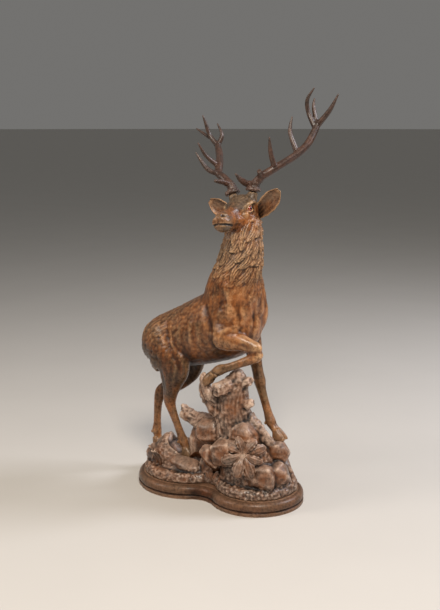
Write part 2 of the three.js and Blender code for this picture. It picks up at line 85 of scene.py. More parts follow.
def ease(low: float, high: float, x: Array) -> Array:
    """Rises smoothly from 0 at low to 1 at high.

    Args:
        low: Where the rise starts.
        high: Where it ends; it may be below low.
        x: Values to map.

    Returns:
        Values in 0..1.
    """
    t = np.clip((x - low) / (high - low), 0.0, 1.0)
    return t * t * (3.0 - 2.0 * t)


def through(table: Array, u: Array) -> Array:
    """A smooth curve through the rows of a table.

    Args:
        table: One row per station.
        u: Places along the rows, 0 to the last row.

    Returns:
        One interpolated row per place.
    """
    n = len(table) - 1
    i = np.minimum(np.floor(u).astype(int), n - 1)
    t = (u - i)[:, None]
    padded = np.vstack([2 * table[0] - table[1], table, 2 * table[-1] - table[-2]])
    a, b, c, d = (padded[i + k] for k in range(4))
    return b + 0.5 * t * (c - a + t * (2 * a - 5 * b + 4 * c - d + t * (3 * (b - c) + d - a)))


def scatter(seed: float) -> float:
    """A repeatable scatter in 0..1, the same one that shapes the boulders' corners.

    Args:
        seed: Any number.

    Returns:
        A value in 0..1.
    """
    s = math.sin(seed * 127.1 + 311.7) * 43758.5453
    return s - math.floor(s)


def lattice(cell: Array, seed: int) -> Array:
    """A repeatable value for each whole-number cell.

    Args:
        cell: Whole numbers along the last axis.
        seed: Picks one of many patterns.

    Returns:
        Values in 0..1.
    """
    mask = np.uint64(0xFFFFFFFF)
    h = np.full(cell.shape[:-1], (seed * 2654435761 + 97) % 2**32, dtype=np.uint64)
    for j in range(cell.shape[-1]):
        part = cell[..., j].astype(np.int64).astype(np.uint64) & mask
        h = ((h ^ part) * np.uint64(0x9E3779B1)) & mask
        h ^= h >> np.uint64(15)
    h = (h * np.uint64(0x85EBCA6B)) & mask
    h ^= h >> np.uint64(13)
    return h.astype(float) / 2**32


def noise(p: Array, seed: int = 1, octaves: int = 1) -> Array:
    """Smooth value noise, with finer layers at half strength each.

    Args:
        p: Points in units of one noise cell.
        seed: Picks the pattern.
        octaves: Number of layers.

    Returns:
        Values about -1..1.
    """
    total = np.zeros(len(p))
    weight = 0.0
    for octave in range(octaves):
        q = p * 2.0**octave + 17.3 * octave
        base = np.floor(q)
        t = q - base
        t = t * t * (3.0 - 2.0 * t)
        layer = np.zeros(len(p))
        for corner in itertools.product((0, 1), repeat=p.shape[1]):
            c = np.array(corner)
            layer += np.prod(np.where(c, t, 1.0 - t), axis=1) * lattice(base + c, seed + octave)
        total += layer * 0.5**octave
        weight += 0.5**octave
    return 2.0 * total / weight - 1.0


def cells(p: Array, seed: int) -> tuple[Array, Array]:
    """Scattered round cells, as in gravel.

    Args:
        p: Points in units of one cell.
        seed: Picks the pattern.

    Returns:
        Distance to the nearest centre, and a value for its cell.
    """
    base = np.floor(p)
    best = np.full(len(p), 9.0)
    who = np.zeros(len(p))
    for step in itertools.product((-1, 0, 1), repeat=p.shape[1]):
        cell = base + np.array(step)
        shift = np.stack([lattice(cell, seed + j) for j in range(p.shape[1])], axis=1)
        d = np.linalg.norm(p - cell - 0.1 - 0.8 * shift, axis=1)
        closer = d < best
        who = np.where(closer, lattice(cell, seed + 7), who)
        best = np.minimum(best, d)
    return best, who


def locks(
    along: Array, around: Array, long: float, wide: float, seed: int, sway: float = 0.5, strands: float = 2.5
) -> Array:
    """Overlapping pointed locks of carved hair, each lifting from root to tip with gouged strands.

    Args:
        along: Distance the way the hair lies.
        around: Distance across it.
        long: Length of a lock.
        wide: Spacing of locks across.
        seed: Picks the pattern.
        sway: How far a tip bends aside, in lock widths.
        strands: Number of gouged strands across a lock.

    Returns:
        Heights in 0..1.
    """
    pitch = long * 0.5
    row = np.floor(along / pitch)
    best = np.zeros_like(along)
    for back in (2, 1, 0):
        r = row - back
        shift = lattice(r[:, None], seed)
        column = np.floor(around / wide - shift)
        for step in (-1, 0, 1):
            c = column + step
            cell = np.stack([r, c], axis=1)
            start = (r + 0.6 * lattice(cell, seed + 1)) * pitch
            middle = (c + shift + 0.5 + 0.4 * (lattice(cell, seed + 2) - 0.5)) * wide
            t = (along - start) / (long * (0.75 + 0.45 * lattice(cell, seed + 3)))
            u = np.clip(t, 1e-3, 1.0 - 1e-3)
            bend = (lattice(cell, seed + 4) - 0.5) * 2.0 * sway
            b = around - middle - wide * (bend * u * u + 0.16 * np.sin(5.0 * u + 6.0 * bend))
            s = b / (wide * 1.5 * u**0.45 * (1.0 - u) ** 0.55)
            ridge = np.clip(1.0 - s * s, 0.0, 1.0) ** 0.8
            gouged = 1.0 - 0.3 * (0.5 + 0.5 * np.cos(3.2 * strands * s + 9.0 * bend))
            height = ridge * gouged * (0.25 + 0.75 * u)
            best = np.maximum(best, np.where((t > 0) & (t < 1), height, 0.0))
    return best


# Shapes


@dataclass
class Shell:
    """A closed shape: its points and its polygons.

    Attributes:
        points: Positions in millimetres.
        faces: Lists of point numbers.
    """

    points: Array
    faces: list[list[int]]

    def moved(self, frame: HeadFrame) -> Shell:
        """Places a head-local shape in the part's frame."""
        return Shell(frame.outward(self.points), self.faces)


def joined(shells: Iterable[Shell]) -> Shell:
    """Puts several shapes in one list of points and faces.

    Args:
        shells: The shapes.

    Returns:
        One shape.
    """
    points: list[Array] = []
    faces: list[list[int]] = []
    start = 0
    for shell in shells:
        points.append(shell.points)
        faces.extend([[k + start for k in face] for face in shell.faces])
        start += len(shell.points)
    return Shell(np.vstack(points), faces)


def skinned(rings: Array) -> Shell:
    """A closed skin over rings of points, with a flat fan at each end.

    Args:
        rings: Points as (ring, place in ring, 3).

    Returns:
        The closed shape.
    """
    count, n, _ = rings.shape
    points = np.vstack([rings.reshape(-1, 3), rings[0].mean(axis=0), rings[-1].mean(axis=0)])
    k = np.arange(n)
    ahead = (k + 1) % n
    faces: list[list[int]] = []
    for r in range(count - 1):
        quad = np.stack([r * n + k, r * n + ahead, (r + 1) * n + ahead, (r + 1) * n + k], axis=1)
        faces.extend(quad.tolist())
    first = np.stack([np.full(n, count * n), ahead, k], axis=1)
    last = np.stack([np.full(n, count * n + 1), (count - 1) * n + k, (count - 1) * n + ahead], axis=1)
    corners = np.array(faces)
    a, b, c, d = (points[corners[:, j]] for j in range(4))
    inside_out = (np.cross(a, b) * c).sum() + (np.cross(a, c) * d).sum()
    for fan in (first, last):
        a, b, c = (points[fan[:, j]] for j in range(3))
        inside_out += (np.cross(a, b) * c).sum()
    faces.extend(first.tolist() + last.tolist())
    if inside_out < 0:
        faces = [face[::-1] for face in faces]
    return Shell(points, faces)


class Axis:
    """The centre line of a limb with its sizes, for building it and for patterns that follow it."""

    def __init__(self, stations: Stations, side: Point = (0, 1, 0), fine: int = 6) -> None:
        """Samples the limb's stations.

        Args:
            stations: Rows of x, y, z, half width, half depth and, if given, turn in degrees.
            side: Direction the width is measured along.
            fine: Samples between stations.
        """
        table = np.zeros((len(stations), 6))
        for row, values in zip(table, stations):
            row[: len(values)] = values
        last = len(table) - 1
        u = np.linspace(0, last, last * fine + 1)
        here = through(table, u)
        step = through(table, np.minimum(u + 0.05, last)) - through(table, np.maximum(u - 0.05, 0))
        turn = np.radians(here[:, 5])
        sx, sy, sz = side
        turned = np.stack(
            [np.cos(turn) * sx - np.sin(turn) * sy, np.sin(turn) * sx + np.cos(turn) * sy, np.full(len(u), sz)], axis=1
        )
        self.centre = here[:, :3]
        self.along = unit(step[:, :3])
        self.across = unit(turned - (turned * self.along).sum(axis=1, keepdims=True) * self.along)
        self.front = np.cross(self.along, self.across)
        self.half = np.maximum(here[:, 3:5], 0.4)
        lengths = np.linalg.norm(np.diff(self.centre, axis=0), axis=1)
        self.arc = np.concatenate([[0.0], np.cumsum(lengths)])

    def shell(self, sides: int = 28) -> Shell:
        """The limb as a closed round shape.

        Args:
            sides: Points round each ring.

        Returns:
            The shape.
        """
        a = 2.0 * np.pi * (np.arange(sides) + 0.5) / sides
        rings = self.centre[:, None] + self.across[:, None] * (np.cos(a)[:, None] * self.half[:, 0][:, None, None])
        rings = rings + self.front[:, None] * (np.sin(a)[:, None] * self.half[:, 1][:, None, None])
        return skinned(rings)

    def placed(self, frame: HeadFrame) -> Axis:
        """The same limb with head-local directions turned into the part's frame.

        Args:
            frame: The head's frame.

        Returns:
            This axis, moved.
        """
        self.centre = frame.outward(self.centre)
        self.along, self.across, self.front = (v @ frame.basis for v in (self.along, self.across, self.front))
        return self

    def locate(self, points: Array, facing: Point | None = None) -> tuple[Array, Array, Array, Array]:
        """Finds points relative to the limb.

        Args:
            points: Positions in millimetres.
            facing: Direction where the angle is zero; without it, the direction of the width.

        Returns:
            Distance from the centre line in limb radii, distance along, angle round, and local radius.
        """
        index = nearest(points, self.centre)
        delta = points - self.centre[index]
        ahead = (delta * self.along[index]).sum(axis=1)
        c = (delta * self.across[index]).sum(axis=1) / self.half[index, 0]
        s = (delta * self.front[index]).sum(axis=1) / self.half[index, 1]
        radius = self.half[index].mean(axis=1)
        end = (index == 0) | (index == len(self.centre) - 1)
        beyond = np.where(end, np.abs(ahead), 0.0) / np.maximum(radius, 4.0)
        angle = np.arctan2(s, c)
        if facing is not None:
            axis = self.along[index]
            zero = unit(np.array(facing) - (axis @ np.array(facing))[:, None] * axis)
            angle = np.arctan2((delta * np.cross(axis, zero)).sum(axis=1), (delta * zero).sum(axis=1))
        return np.hypot(c, s) + beyond, self.arc[index] + ahead, angle, radius


def limb(stations: Stations, side: Point = (0, 1, 0), sides: int = 28, fine: int = 6) -> Shell:
    """A limb as a closed shape.

    Args:
        stations: Rows of x, y, z, half width, half depth and turn.
        side: Direction the width is measured along.
        sides: Points round each ring.
        fine: Rings between stations.

    Returns:
        The shape.
    """
    return Axis(stations, side, fine).shell(sides)


def nearest(points: Array, places: Array) -> Array:
    """Number of the closest place for each point.

    Args:
        points: Positions.
        places: Positions to choose from.

    Returns:
        Whole numbers, one per point.
    """
    out = np.empty(len(points), dtype=int)
    weight = (places**2).sum(axis=1)
    for start in range(0, len(points), BLOCK):
        block = points[start : start + BLOCK]
        out[start : start + BLOCK] = np.argmin(weight - 2.0 * block @ places.T, axis=1)
    return out


def swell(at: Point, half: Point, turn: Point = (0, 0, 0), detail: int = 28) -> Shell:
    """A ball stretched to three half sizes, turned and set at a place.

    Args:
        at: Its centre.
        half: Half sizes.
        turn: Turns about X, Y and Z in degrees.
        detail: Points round it.

    Returns:
        The closed shape.
    """
    x, y, z = np.radians(turn)
    rx = np.array([[1, 0, 0], [0, np.cos(x), -np.sin(x)], [0, np.sin(x), np.cos(x)]])
    ry = np.array([[np.cos(y), 0, np.sin(y)], [0, 1, 0], [-np.sin(y), 0, np.cos(y)]])
    rz = np.array([[np.cos(z), -np.sin(z), 0], [np.sin(z), np.cos(z), 0], [0, 0, 1]])
    lat = np.linspace(0.04, np.pi - 0.04, detail // 2 + 1)[:, None]
    lon = (2.0 * np.pi * np.arange(detail) / detail)[None, :]
    ball = np.stack([np.sin(lat) * np.cos(lon), np.sin(lat) * np.sin(lon), np.cos(lat) + 0 * lon], axis=2)
    return skinned((ball * np.array(half)) @ (rx @ ry @ rz).T + np.array(at))


def hull(points: Array) -> Shell:
    """The tight wrapping of a set of points.

    Args:
        points: Positions in millimetres.

    Returns:
        The closed shape.
    """
    bm = bmesh.new()
    for p in points:
        bm.verts.new(p)
    found = bmesh.ops.convex_hull(bm, input=bm.verts)
    spare = {g for g in found["geom_interior"] + found["geom_unused"] if isinstance(g, bmesh.types.BMVert)}
    bmesh.ops.delete(bm, geom=list(spare), context="VERTS")
    bm.verts.index_update()
    out = Shell(np.array([v.co for v in bm.verts]), [[v.index for v in f.verts] for f in bm.faces])
    bm.free()
    return out


@dataclass(frozen=True)
class HeadFrame:
    """The head's own directions: forward along the muzzle, left and up.

    Attributes:
        at: Place between the eyes, inside the skull.
        turn: Turn from the body's heading, in degrees.
        lift: Rise of the muzzle, in degrees.
        tilt: Roll about the muzzle, in degrees.
    """

    at: Triple = (60.5, 0.0, 782.5)
    turn: float = -81.0
    lift: float = 3.5
    tilt: float = 9.7

    @property
    def basis(self) -> Array:
        """Rows of forward, left and up in the part's frame."""
        a, b, c = np.radians([self.turn, self.lift, self.tilt])
        forward = np.array([np.cos(a) * np.cos(b), np.sin(a) * np.cos(b), np.sin(b)])
        level = np.array([-np.sin(a), np.cos(a), 0.0])
        left = level * np.cos(c) + np.cross(forward, level) * np.sin(c)
        return np.stack([forward, left, np.cross(forward, left)])

    def outward(self, local: Array) -> Array:
        """Takes head-local rows of forward, left and up to the part's frame."""
        return np.asarray(local, float) @ self.basis + np.array(self.at)

    def inward(self, points: Array) -> Array:
        """Takes points of the part's frame to head-local rows of forward, left and up."""
        return (points - np.array(self.at)) @ self.basis.T


@dataclass(frozen=True)
class Stroke:
    """A gouge or ridge drawn along the surface.

    Attributes:
        path: Places it passes, on or near the surface.
        wide: Half width.
        rise: Height; below zero it is cut in.
        both: Whether the other side has it too.
    """

    path: tuple[Triple, ...]
    wide: float
    rise: float
    both: bool = False


class Skin:
    """A carved surface: points in millimetres, faces, and the marks that its finish reads."""

    def __init__(self, shell: Shell) -> None:
        """Takes over a shape.

        Args:
            shell: The shape.
        """
        self.points = shell.points
        self.faces = shell.faces
        self._link()

    def _link(self) -> None:
        """Lists the edges between neighbouring points."""
        self.blocks = [np.array([f for f in self.faces if len(f) == n]) for n in {len(f) for f in self.faces}]
        pairs = [np.stack([b, np.roll(b, -1, axis=1)], axis=2).reshape(-1, 2) for b in self.blocks]
        edges = np.unique(np.sort(np.vstack(pairs), axis=1), axis=0)
        self.edges = edges
        self.valence = np.maximum(np.bincount(edges.ravel(), minlength=len(self.points)), 1)

    @classmethod
    def remeshed(cls, shells: Iterable[Shell], voxel: float) -> Skin:
        """Melts overlapping shapes into one even skin.

        Args:
            shells: Closed shapes.
            voxel: Size of its faces in millimetres.

        Returns:
            The skin.
        """
        whole = joined(shells)
        mesh = bpy.data.meshes.new("rough")
        mesh.from_pydata((whole.points * MM).tolist(), [], whole.faces)
        obj = bpy.data.objects.new("rough", mesh)
        bpy.context.scene.collection.objects.link(obj)
        modifier = obj.modifiers.new("even", "REMESH")
        modifier.mode = "VOXEL"
        modifier.voxel_size = voxel * MM
        graph = bpy.context.evaluated_depsgraph_get()
        made = bpy.data.meshes.new_from_object(obj.evaluated_get(graph))
        co = np.empty(len(made.vertices) * 3)
        made.vertices.foreach_get("co", co)
        faces = [list(p.vertices) for p in made.polygons]
        bpy.data.objects.remove(obj)
        bpy.data.meshes.remove(mesh)
        bpy.data.meshes.remove(made)
        return cls(Shell(co.reshape(-1, 3) / MM, faces))

    def mean(self, values: Array) -> Array:
        """Average over each point's neighbours.

        Args:
            values: One row per point.

        Returns:
            One averaged row per point.
        """
        a, b = self.edges.T
        n = len(self.points)
        out = [
            np.bincount(a, weights=v[b], minlength=n) + np.bincount(b, weights=v[a], minlength=n)
            for v in np.atleast_2d(values.T)
        ]
        out_array = np.array(out).T / self.valence[:, None]
        return out_array if values.ndim == 2 else out_array[:, 0]

    def smooth(self, passes: int) -> None:
        """Softens the surface without shrinking it.

        Args:
            passes: How many times.
        """
        for _ in range(passes):
            for step in (0.55, -0.57):
                self.points = self.points + step * (self.mean(self.points) - self.points)

    def fillet(self, passes: int) -> None:
        """Fills the creases between joined masses with soft hollows, as a gouge leaves them.

        Args:
            passes: How many times; more passes give a wider hollow.
        """
        for _ in range(passes):
            out = self.normals()
            pull = ((self.mean(self.points) - self.points) * out).sum(axis=1)
            self.points = self.points + out * (0.6 * np.maximum(pull, 0.0))[:, None]

    def normals(self) -> Array:
        """Outward direction at each point.

        Returns:
            Unit vectors.
        """
        out = np.zeros_like(self.points)
        for block in self.blocks:
            n = block.shape[1]
            p = self.points[block]
            if n == 3:
                area = np.cross(p[:, 1] - p[:, 0], p[:, 2] - p[:, 0])
            else:
                area = np.cross(p[:, 2] - p[:, 0], p[:, 3] - p[:, 1])
            for k in range(n):
                for j in range(3):
                    out[:, j] += np.bincount(block[:, k], weights=area[:, j], minlength=len(out))
        return unit(out)

    def push(self, amount: Array) -> None:
        """Moves the surface along its normals, by millimetres outward at each point."""
        self.points = self.points + self.normals() * amount[:, None]

    def refine(self, chosen: Array) -> None:
        """Halves the size of the faces in a region.

        Args:
            chosen: True for the points of the region.
        """
        bm = bmesh.new()
        made = [bm.verts.new(p) for p in self.points]
        for f in self.faces:
            bm.faces.new([made[k] for k in f])
        bm.verts.index_update()
        edges = [e for e in bm.edges if chosen[e.verts[0].index] and chosen[e.verts[1].index]]
        bmesh.ops.subdivide_edges(bm, edges=edges, cuts=1, use_grid_fill=True)
        odd = [f for f in bm.faces if len(f.verts) > 4]
        bmesh.ops.triangulate(bm, faces=odd)
        bm.verts.index_update()
        self.points = np.array([v.co for v in bm.verts])
        self.faces = [[v.index for v in f.verts] for f in bm.faces]
        bm.free()
        self._link()

    def drawn(self, strokes: Iterable[Stroke]) -> Array:
        """Heights of gouges and ridges drawn on the surface.

        Args:
            strokes: The strokes.

        Returns:
            Millimetres outward, one per point.
        """
        total = np.zeros(len(self.points))
        for stroke in strokes:
            for s in (1.0, -1.0) if stroke.both else (1.0,):
                path = np.array(stroke.path) * np.array([1.0, s, 1.0])
                dense = through(path, np.linspace(0, len(path) - 1, 14 * (len(path) - 1)))
                dense = self.points[nearest(dense, self.points)]
                close = np.flatnonzero(
                    np.all(self.points > dense.min(axis=0) - 3 * stroke.wide, axis=1)
                    & np.all(self.points < dense.max(axis=0) + 3 * stroke.wide, axis=1)
                )
                which = nearest(self.points[close], dense)
                gap = np.linalg.norm(self.points[close] - dense[which], axis=1) / stroke.wide
                taper = np.sin(np.pi * (which + 0.7) / (len(dense) + 0.4)) ** 0.5
                height = stroke.rise * taper * np.exp(-gap * gap)
                stronger = np.abs(height) > np.abs(total[close])
                total[close] = np.where(stronger, height, total[close])
        return total

    def add(self, shells: Iterable[Shell]) -> None:
        """Joins finer shapes onto the piece.

        Args:
            shells: Closed shapes that sink into the surface.
        """
        whole = joined([Shell(self.points, self.faces), *shells])
        self.points, self.faces = whole.points, whole.faces
        self._link()

    def relief(self, passes: int) -> Array:
        """How far each point stands out of its surroundings.

        Args:
            passes: Reach of the surroundings.

        Returns:
            Millimetres, above zero on edges and below zero in hollows.
        """
        soft = self.points
        for _ in range(passes):
            soft = self.mean(soft)
        return ((self.points - soft) * self.normals()).sum(axis=1)


# Finishes


def to_linear(code: str) -> tuple[float, float, float, float]:
    """Turns an sRGB hex colour to linear light.

    Args:
        code: Six hex digits after a hash.

    Returns:
        Red, green, blue and alpha.
    """
    parts = [int(code[k : k + 2], 16) / 255 for k in (1, 3, 5)]
    r, g, b = (c / 12.92 if c <= 0.04045 else ((c + 0.055) / 1.055) ** 2.4 for c in parts)
    return (r, g, b, 1.0)


def node(tree: bpy.types.NodeTree, kind: str, inputs: dict | None = None, **fields: object) -> bpy.types.Node:
    """Adds a shader node, sets its fields, and sets or links its inputs.

    Args:
        tree: The material's nodes.
        kind: The node's type.
        inputs: Input name or number to a value or to an output to link.
        **fields: Node fields such as a blend type.

    Returns:
        The node.
    """
    made = tree.nodes.new(kind)
    for name, value in fields.items():
        setattr(made, name, value)
    for name, value in (inputs or {}).items():
        if isinstance(value, bpy.types.NodeSocket):
            tree.links.new(value, made.inputs[name])
        else:
            made.inputs[name].default_value = value
    return made


class Mark(Enum):
    """Marks stored on each carved piece for its finish to read."""

    # hollow: dirt held in cuts, and painted shade in the broader hollows
    HOLLOW = "hollow"
    # the pale edge mark: wear on edges, and painted highlights on ridges, rims and the cheekbone
    WORN = "worn"
    TONE = "tone"
    DUST = "dust"


@dataclass(frozen=True)
class StainedWood:
    """Carved wood under stain and wax: streaky and blotched, dark in the cuts and with painted shade in the hollows,
    paler on the edges with wear and painted highlights.

    Attributes:
        name: Material name.
        deep: Colour of the darkest stain.
        mid: Colour of most of the surface.
        warm: Colour of the lighter, more orange streaks.
        cut: Colour of dirt held in cuts, also painted into the broader hollows as shade.
        edge: Colour of rubbed edges, also used for painted highlights.
        dust: Colour of dry dust on rough and upward parts.
        smooth: Roughness of the waxed parts.
        dry: Roughness of the dusty parts.
        coat: Weight of the wax film.
        gloss: Strength of the stain's own reflection.
        grain: Spacing of the wood's fibres, in millimetres.
        blotch: Size of the stain's blotches, in millimetres.
        along: Direction of the grain.
    """

    name: str
    deep: str
    mid: str
    warm: str
    cut: str
    edge: str
    dust: str
    smooth: float = 0.34
    dry: float = 0.7
    coat: float = 0.15
    gloss: float = 0.36
    grain: float = 2.2
    blotch: float = 38.0
    along: Triple = (1.0, 1.0, 0.08)

    def material(self) -> bpy.types.Material:
        """Builds the material.

        Returns:
            The material.
        """
        made = bpy.data.materials.new(self.name)
        made.use_nodes = True
        tree = made.node_tree
        tree.nodes.clear()
        place = node(tree, "ShaderNodeTexCoord").outputs["Object"]
        marks = {m: node(tree, "ShaderNodeAttribute", attribute_name=m.value).outputs["Fac"] for m in Mark}

        # Fibres run up the carving block and blotches are where stain soaked in, so the colour streaks and clouds;
        # real fibres are finer than a millimetre and are drawn coarser here so that they show
        stretched = node(tree, "ShaderNodeMapping", {"Vector": place, "Scale": self.along}).outputs[0]
        fibre, streak, blotch, speck = (
            node(
                tree,
                "ShaderNodeTexNoise",
                {"Vector": vector, "Scale": 1 / (size * MM), "Detail": detail, "Roughness": rough},
            ).outputs[0]
            for vector, size, detail, rough in (
                (stretched, self.grain, 4.0, 0.5),
                (stretched, self.grain * 6, 3.0, 0.5),
                (place, self.blotch, 5.0, 0.62),
                (place, 7.0, 6.0, 0.7),
            )
        )
        shade = -0.3
        for value, share in ((blotch, 0.75), (streak, 0.45), (fibre, 0.18), (speck, 0.6), (marks[Mark.TONE], 0.32)):
            shade = node(tree, "ShaderNodeMath", {0: value, 1: share, 2: shade}, operation="MULTIPLY_ADD").outputs[0]
        base = to_linear(self.deep)
        for low, high, tint in ((0.42, 0.74, self.mid), (0.62, 1.0, self.warm)):
            much = node(
                tree, "ShaderNodeMapRange", {0: shade, 1: low, 2: high}, interpolation_type="SMOOTHSTEP"
            ).outputs[0]
            base = node(tree, "ShaderNodeMix", {0: much, 6: base, 7: to_linear(tint)}, data_type="RGBA").outputs[2]
        # Rubbed edges show paler wood and painted highlights take the same pale colour; dust dulls the rough and
        # upward parts, both broken up by specks
        patchy = {}
        for mark, low, high, least, tint in (
            (Mark.WORN, 0.32, 0.62, 0.35, self.edge),
            (Mark.DUST, 0.3, 0.66, 0.25, self.dust),
        ):
            broken = node(
                tree,
                "ShaderNodeMapRange",
                {0: speck, 1: low, 2: high, 3: least, 4: 1.0},
                interpolation_type="SMOOTHSTEP",
            ).outputs[0]
            patchy[mark] = node(
                tree, "ShaderNodeMath", {0: marks[mark], 1: broken}, operation="MULTIPLY", use_clamp=True
            ).outputs[0]
            base = node(
                tree, "ShaderNodeMix", {0: patchy[mark], 6: base, 7: to_linear(tint)}, data_type="RGBA"
            ).outputs[2]
        # Stain and dirt gather in the cuts and draw them as dark lines; the same dark colour is painted into the
        # broader hollows as shade
        base = node(
            tree, "ShaderNodeMix", {0: marks[Mark.HOLLOW], 6: base, 7: to_linear(self.cut)}, data_type="RGBA"
        ).outputs[2]
        # Dust and dirt take off the wax's shine
        dull = node(
            tree, "ShaderNodeMath", {0: speck, 1: 0.35, 2: patchy[Mark.DUST]}, operation="MULTIPLY_ADD"
        ).outputs[0]
        rough = node(
            tree,
            "ShaderNodeMapRange",
            {0: dull, 1: 0.1, 2: 1.0, 3: self.smooth, 4: self.dry},
            interpolation_type="SMOOTHSTEP",
        ).outputs[0]
        rough = node(
            tree,
            "ShaderNodeMath",
            {0: marks[Mark.HOLLOW], 1: 0.25, 2: rough},
            operation="MULTIPLY_ADD",
            use_clamp=True,
        ).outputs[0]
        # Fibres and specks stand a little proud, so that highlights break up
        height = 0.0
        for value, share in ((fibre, 0.6), (speck, 0.7)):
            height = node(tree, "ShaderNodeMath", {0: value, 1: share, 2: height}, operation="MULTIPLY_ADD").outputs[0]
        bump = node(tree, "ShaderNodeBump", {"Height": height, "Strength": 0.55, "Distance": 0.0011}).outputs[0]
        shader = node(
            tree,
            "ShaderNodeBsdfPrincipled",
            {
                "Base Color": base,
                "Roughness": rough,
                "Normal": bump,
                "Coat Weight": self.coat,
                "Coat Roughness": 0.28,
                "Specular IOR Level": self.gloss,
            },
        )
        node(tree, "ShaderNodeOutputMaterial", {"Surface": shader.outputs[0]})
        return made


@dataclass(frozen=True)
class AmberGlass:
    """A glass eye: a dark pupil in a streaked red-brown iris under a clear, wet-looking surface.

    Attributes:
        name: Material name.
        pupil: Colour of the middle.
        iris: Colour of the ring.
        rim: Colour of the back.
    """

    name: str = "amber_eye_glass"
    pupil: str = "#0a0302"
    iris: str = "#8c2d10"
    rim: str = "#1c0704"

    def material(self) -> bpy.types.Material:
        """Builds the material.

        Returns:
            The material.
        """
        made = bpy.data.materials.new(self.name)
        made.use_nodes = True
        tree = made.node_tree
        tree.nodes.clear()
        place = node(tree, "ShaderNodeTexCoord").outputs["Object"]
        ring = node(tree, "ShaderNodeAttribute", attribute_name=Mark.TONE.value).outputs["Fac"]
        streak = node(tree, "ShaderNodeTexNoise", {"Vector": place, "Scale": 1 / (1.4 * MM), "Detail": 4.0}).outputs[0]
        varied = node(tree, "ShaderNodeMath", {0: streak, 1: 0.12, 2: ring}, operation="MULTIPLY_ADD").outputs[0]
        ramp = node(tree, "ShaderNodeValToRGB", {0: varied})
        stops = ramp.color_ramp.elements
        stops[0].position, stops[0].color = 0.30, to_linear(self.pupil)
        stops[1].position, stops[1].color = 0.98, to_linear(self.rim)
        middle = stops.new(0.5)
        middle.color = to_linear(self.iris)
        shader = node(
            tree,
            "ShaderNodeBsdfPrincipled",
            {"Base Color": ramp.outputs[0], "Roughness": 0.12, "Coat Weight": 1.0, "Coat Roughness": 0.02},
        )
        node(tree, "ShaderNodeOutputMaterial", {"Surface": shader.outputs[0]})
        return made


class Finish(Enum):
    """The object's finishes, each with the record's slot name."""

    STAG = "stained_wood"
    ROCK = "rock_wood"
    PLINTH = "plinth_wood"
    ANTLER = "antler_wood"
    EYE = "eye_glass"


FINISHES: dict[Finish, StainedWood | AmberGlass] = {
    # Lime wood, gouge-carved, stained and waxed: warm brown with honey streaks and a satin sheen
    Finish.STAG: StainedWood(
        name="stained_lime_wood",
        deep="#231208",
        mid="#522b13",
        warm="#905527",
        cut="#080402",
        edge="#dfb283",
        dust="#857461",
        smooth=0.27,
        coat=0.12,
        gloss=0.28,
    ),
    # The same wood left rougher and handled less: dry and greyish on top, glossy brown with painted shade on the
    # sideways and downward faces
    Finish.ROCK: StainedWood(
        name="dusty_stained_wood",
        deep="#1d0f06",
        mid="#4a2b17",
        warm="#7f4a22",
        cut="#070301",
        edge="#dcc1ac",
        dust="#a08674",
        smooth=0.27,
        coat=0.18,
        gloss=0.32,
    ),
    # A planed and moulded board under dark wax: even, deep brown with a grain that runs along it
    Finish.PLINTH: StainedWood(
        name="waxed_board_wood",
        deep="#160a05",
        mid="#331b0e",
        warm="#583018",
        cut="#070301",
        edge="#b08c70",
        dust="#5c4636",
        smooth=0.3,
        coat=0.05,
        gloss=0.2,
        along=(0.1, 1.0, 1.0),
    ),
    # Carved wood stained to look like horn: dark and cool, with paler high spots
    Finish.ANTLER: StainedWood(
        name="antler_stained_wood",
        deep="#140905",
        mid="#2d1910",
        warm="#4a2b1b",
        cut="#080302",
        edge="#a88f80",
        dust="#5d4a42",
        smooth=0.34,
        blotch=26.0,
    ),
    Finish.EYE: AmberGlass(),
}


class Dresser:
    """Turns finished skins into pieces that stand for the CAD's nodes."""

    def __init__(self) -> None:
        """Builds every finish once."""
        self.materials = {finish: look.material() for finish, look in FINISHES.items()}

    def dress(self, skin: Skin, name: str, finish: Finish, marks: dict[Mark, Array]) -> bpy.types.Object:
        """Makes the piece and hands it to the frame.

        Args:
            skin: The carved surface.
            name: The CAD node it stands for.
            finish: Its finish.
            marks: Marks for the finish to read.

        Returns:
            The piece.
        """
        mesh = bpy.data.meshes.new(f"{name}_carved")
        mesh.from_pydata((skin.points * MM).tolist(), [], skin.faces)
        mesh.polygons.foreach_set("use_smooth", [True] * len(mesh.polygons))
        for mark in Mark:
            values = marks.get(mark, np.zeros(len(skin.points)))
            layer = mesh.attributes.new(mark.value, "FLOAT", "POINT")
            layer.data.foreach_set("value", np.asarray(values, dtype=np.float32))
        mesh.materials.append(self.materials[finish])
        mesh.update()
        piece = bpy.data.objects.new(f"{name}_carved", mesh)
        bpy.context.scene.collection.objects.link(piece)
        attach(piece, "root")
        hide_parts(name)
        count = sum(len(f) - 2 for f in skin.faces)
        LOG.info("%s: %d triangles", name, count)
        return piece


def dirt_wear_and_painted_light(skin: Skin, fine: float, broad: float) -> tuple[Array, Array]:
    """Works out where dirt gathers and shade is painted in, and where edges wear and highlights are painted on.

    Args:
        skin: The carved surface.
        fine: Depth of a small cut that is fully dark, in millimetres.
        broad: Depth of a wide hollow that is fully dark, in millimetres.

    Returns:
        The hollow mark, dirt with painted shade, and the pale edge mark, wear with painted highlights.
    """
    small = skin.relief(3) / fine
    middle = skin.relief(12) / (0.45 * broad)
    large = skin.relief(45) / broad
    # Fine cuts darken as held dirt, and the broader hollows darken as painted shade; raised edges turn pale as wear
    # and as painted highlight
    hollow = np.clip(-small, 0, 1) * 0.7 + np.clip(-middle, 0, 1) * 0.6 + np.clip(-large, 0, 1) * 0.45
    worn = np.clip(small, 0, 1) * 0.75 + np.clip(middle - 0.35, 0, 1) * 0.3
    return np.clip(skin.mean(hollow), 0, 0.95), np.clip(skin.mean(worn), 0, 0.9)


# The animal


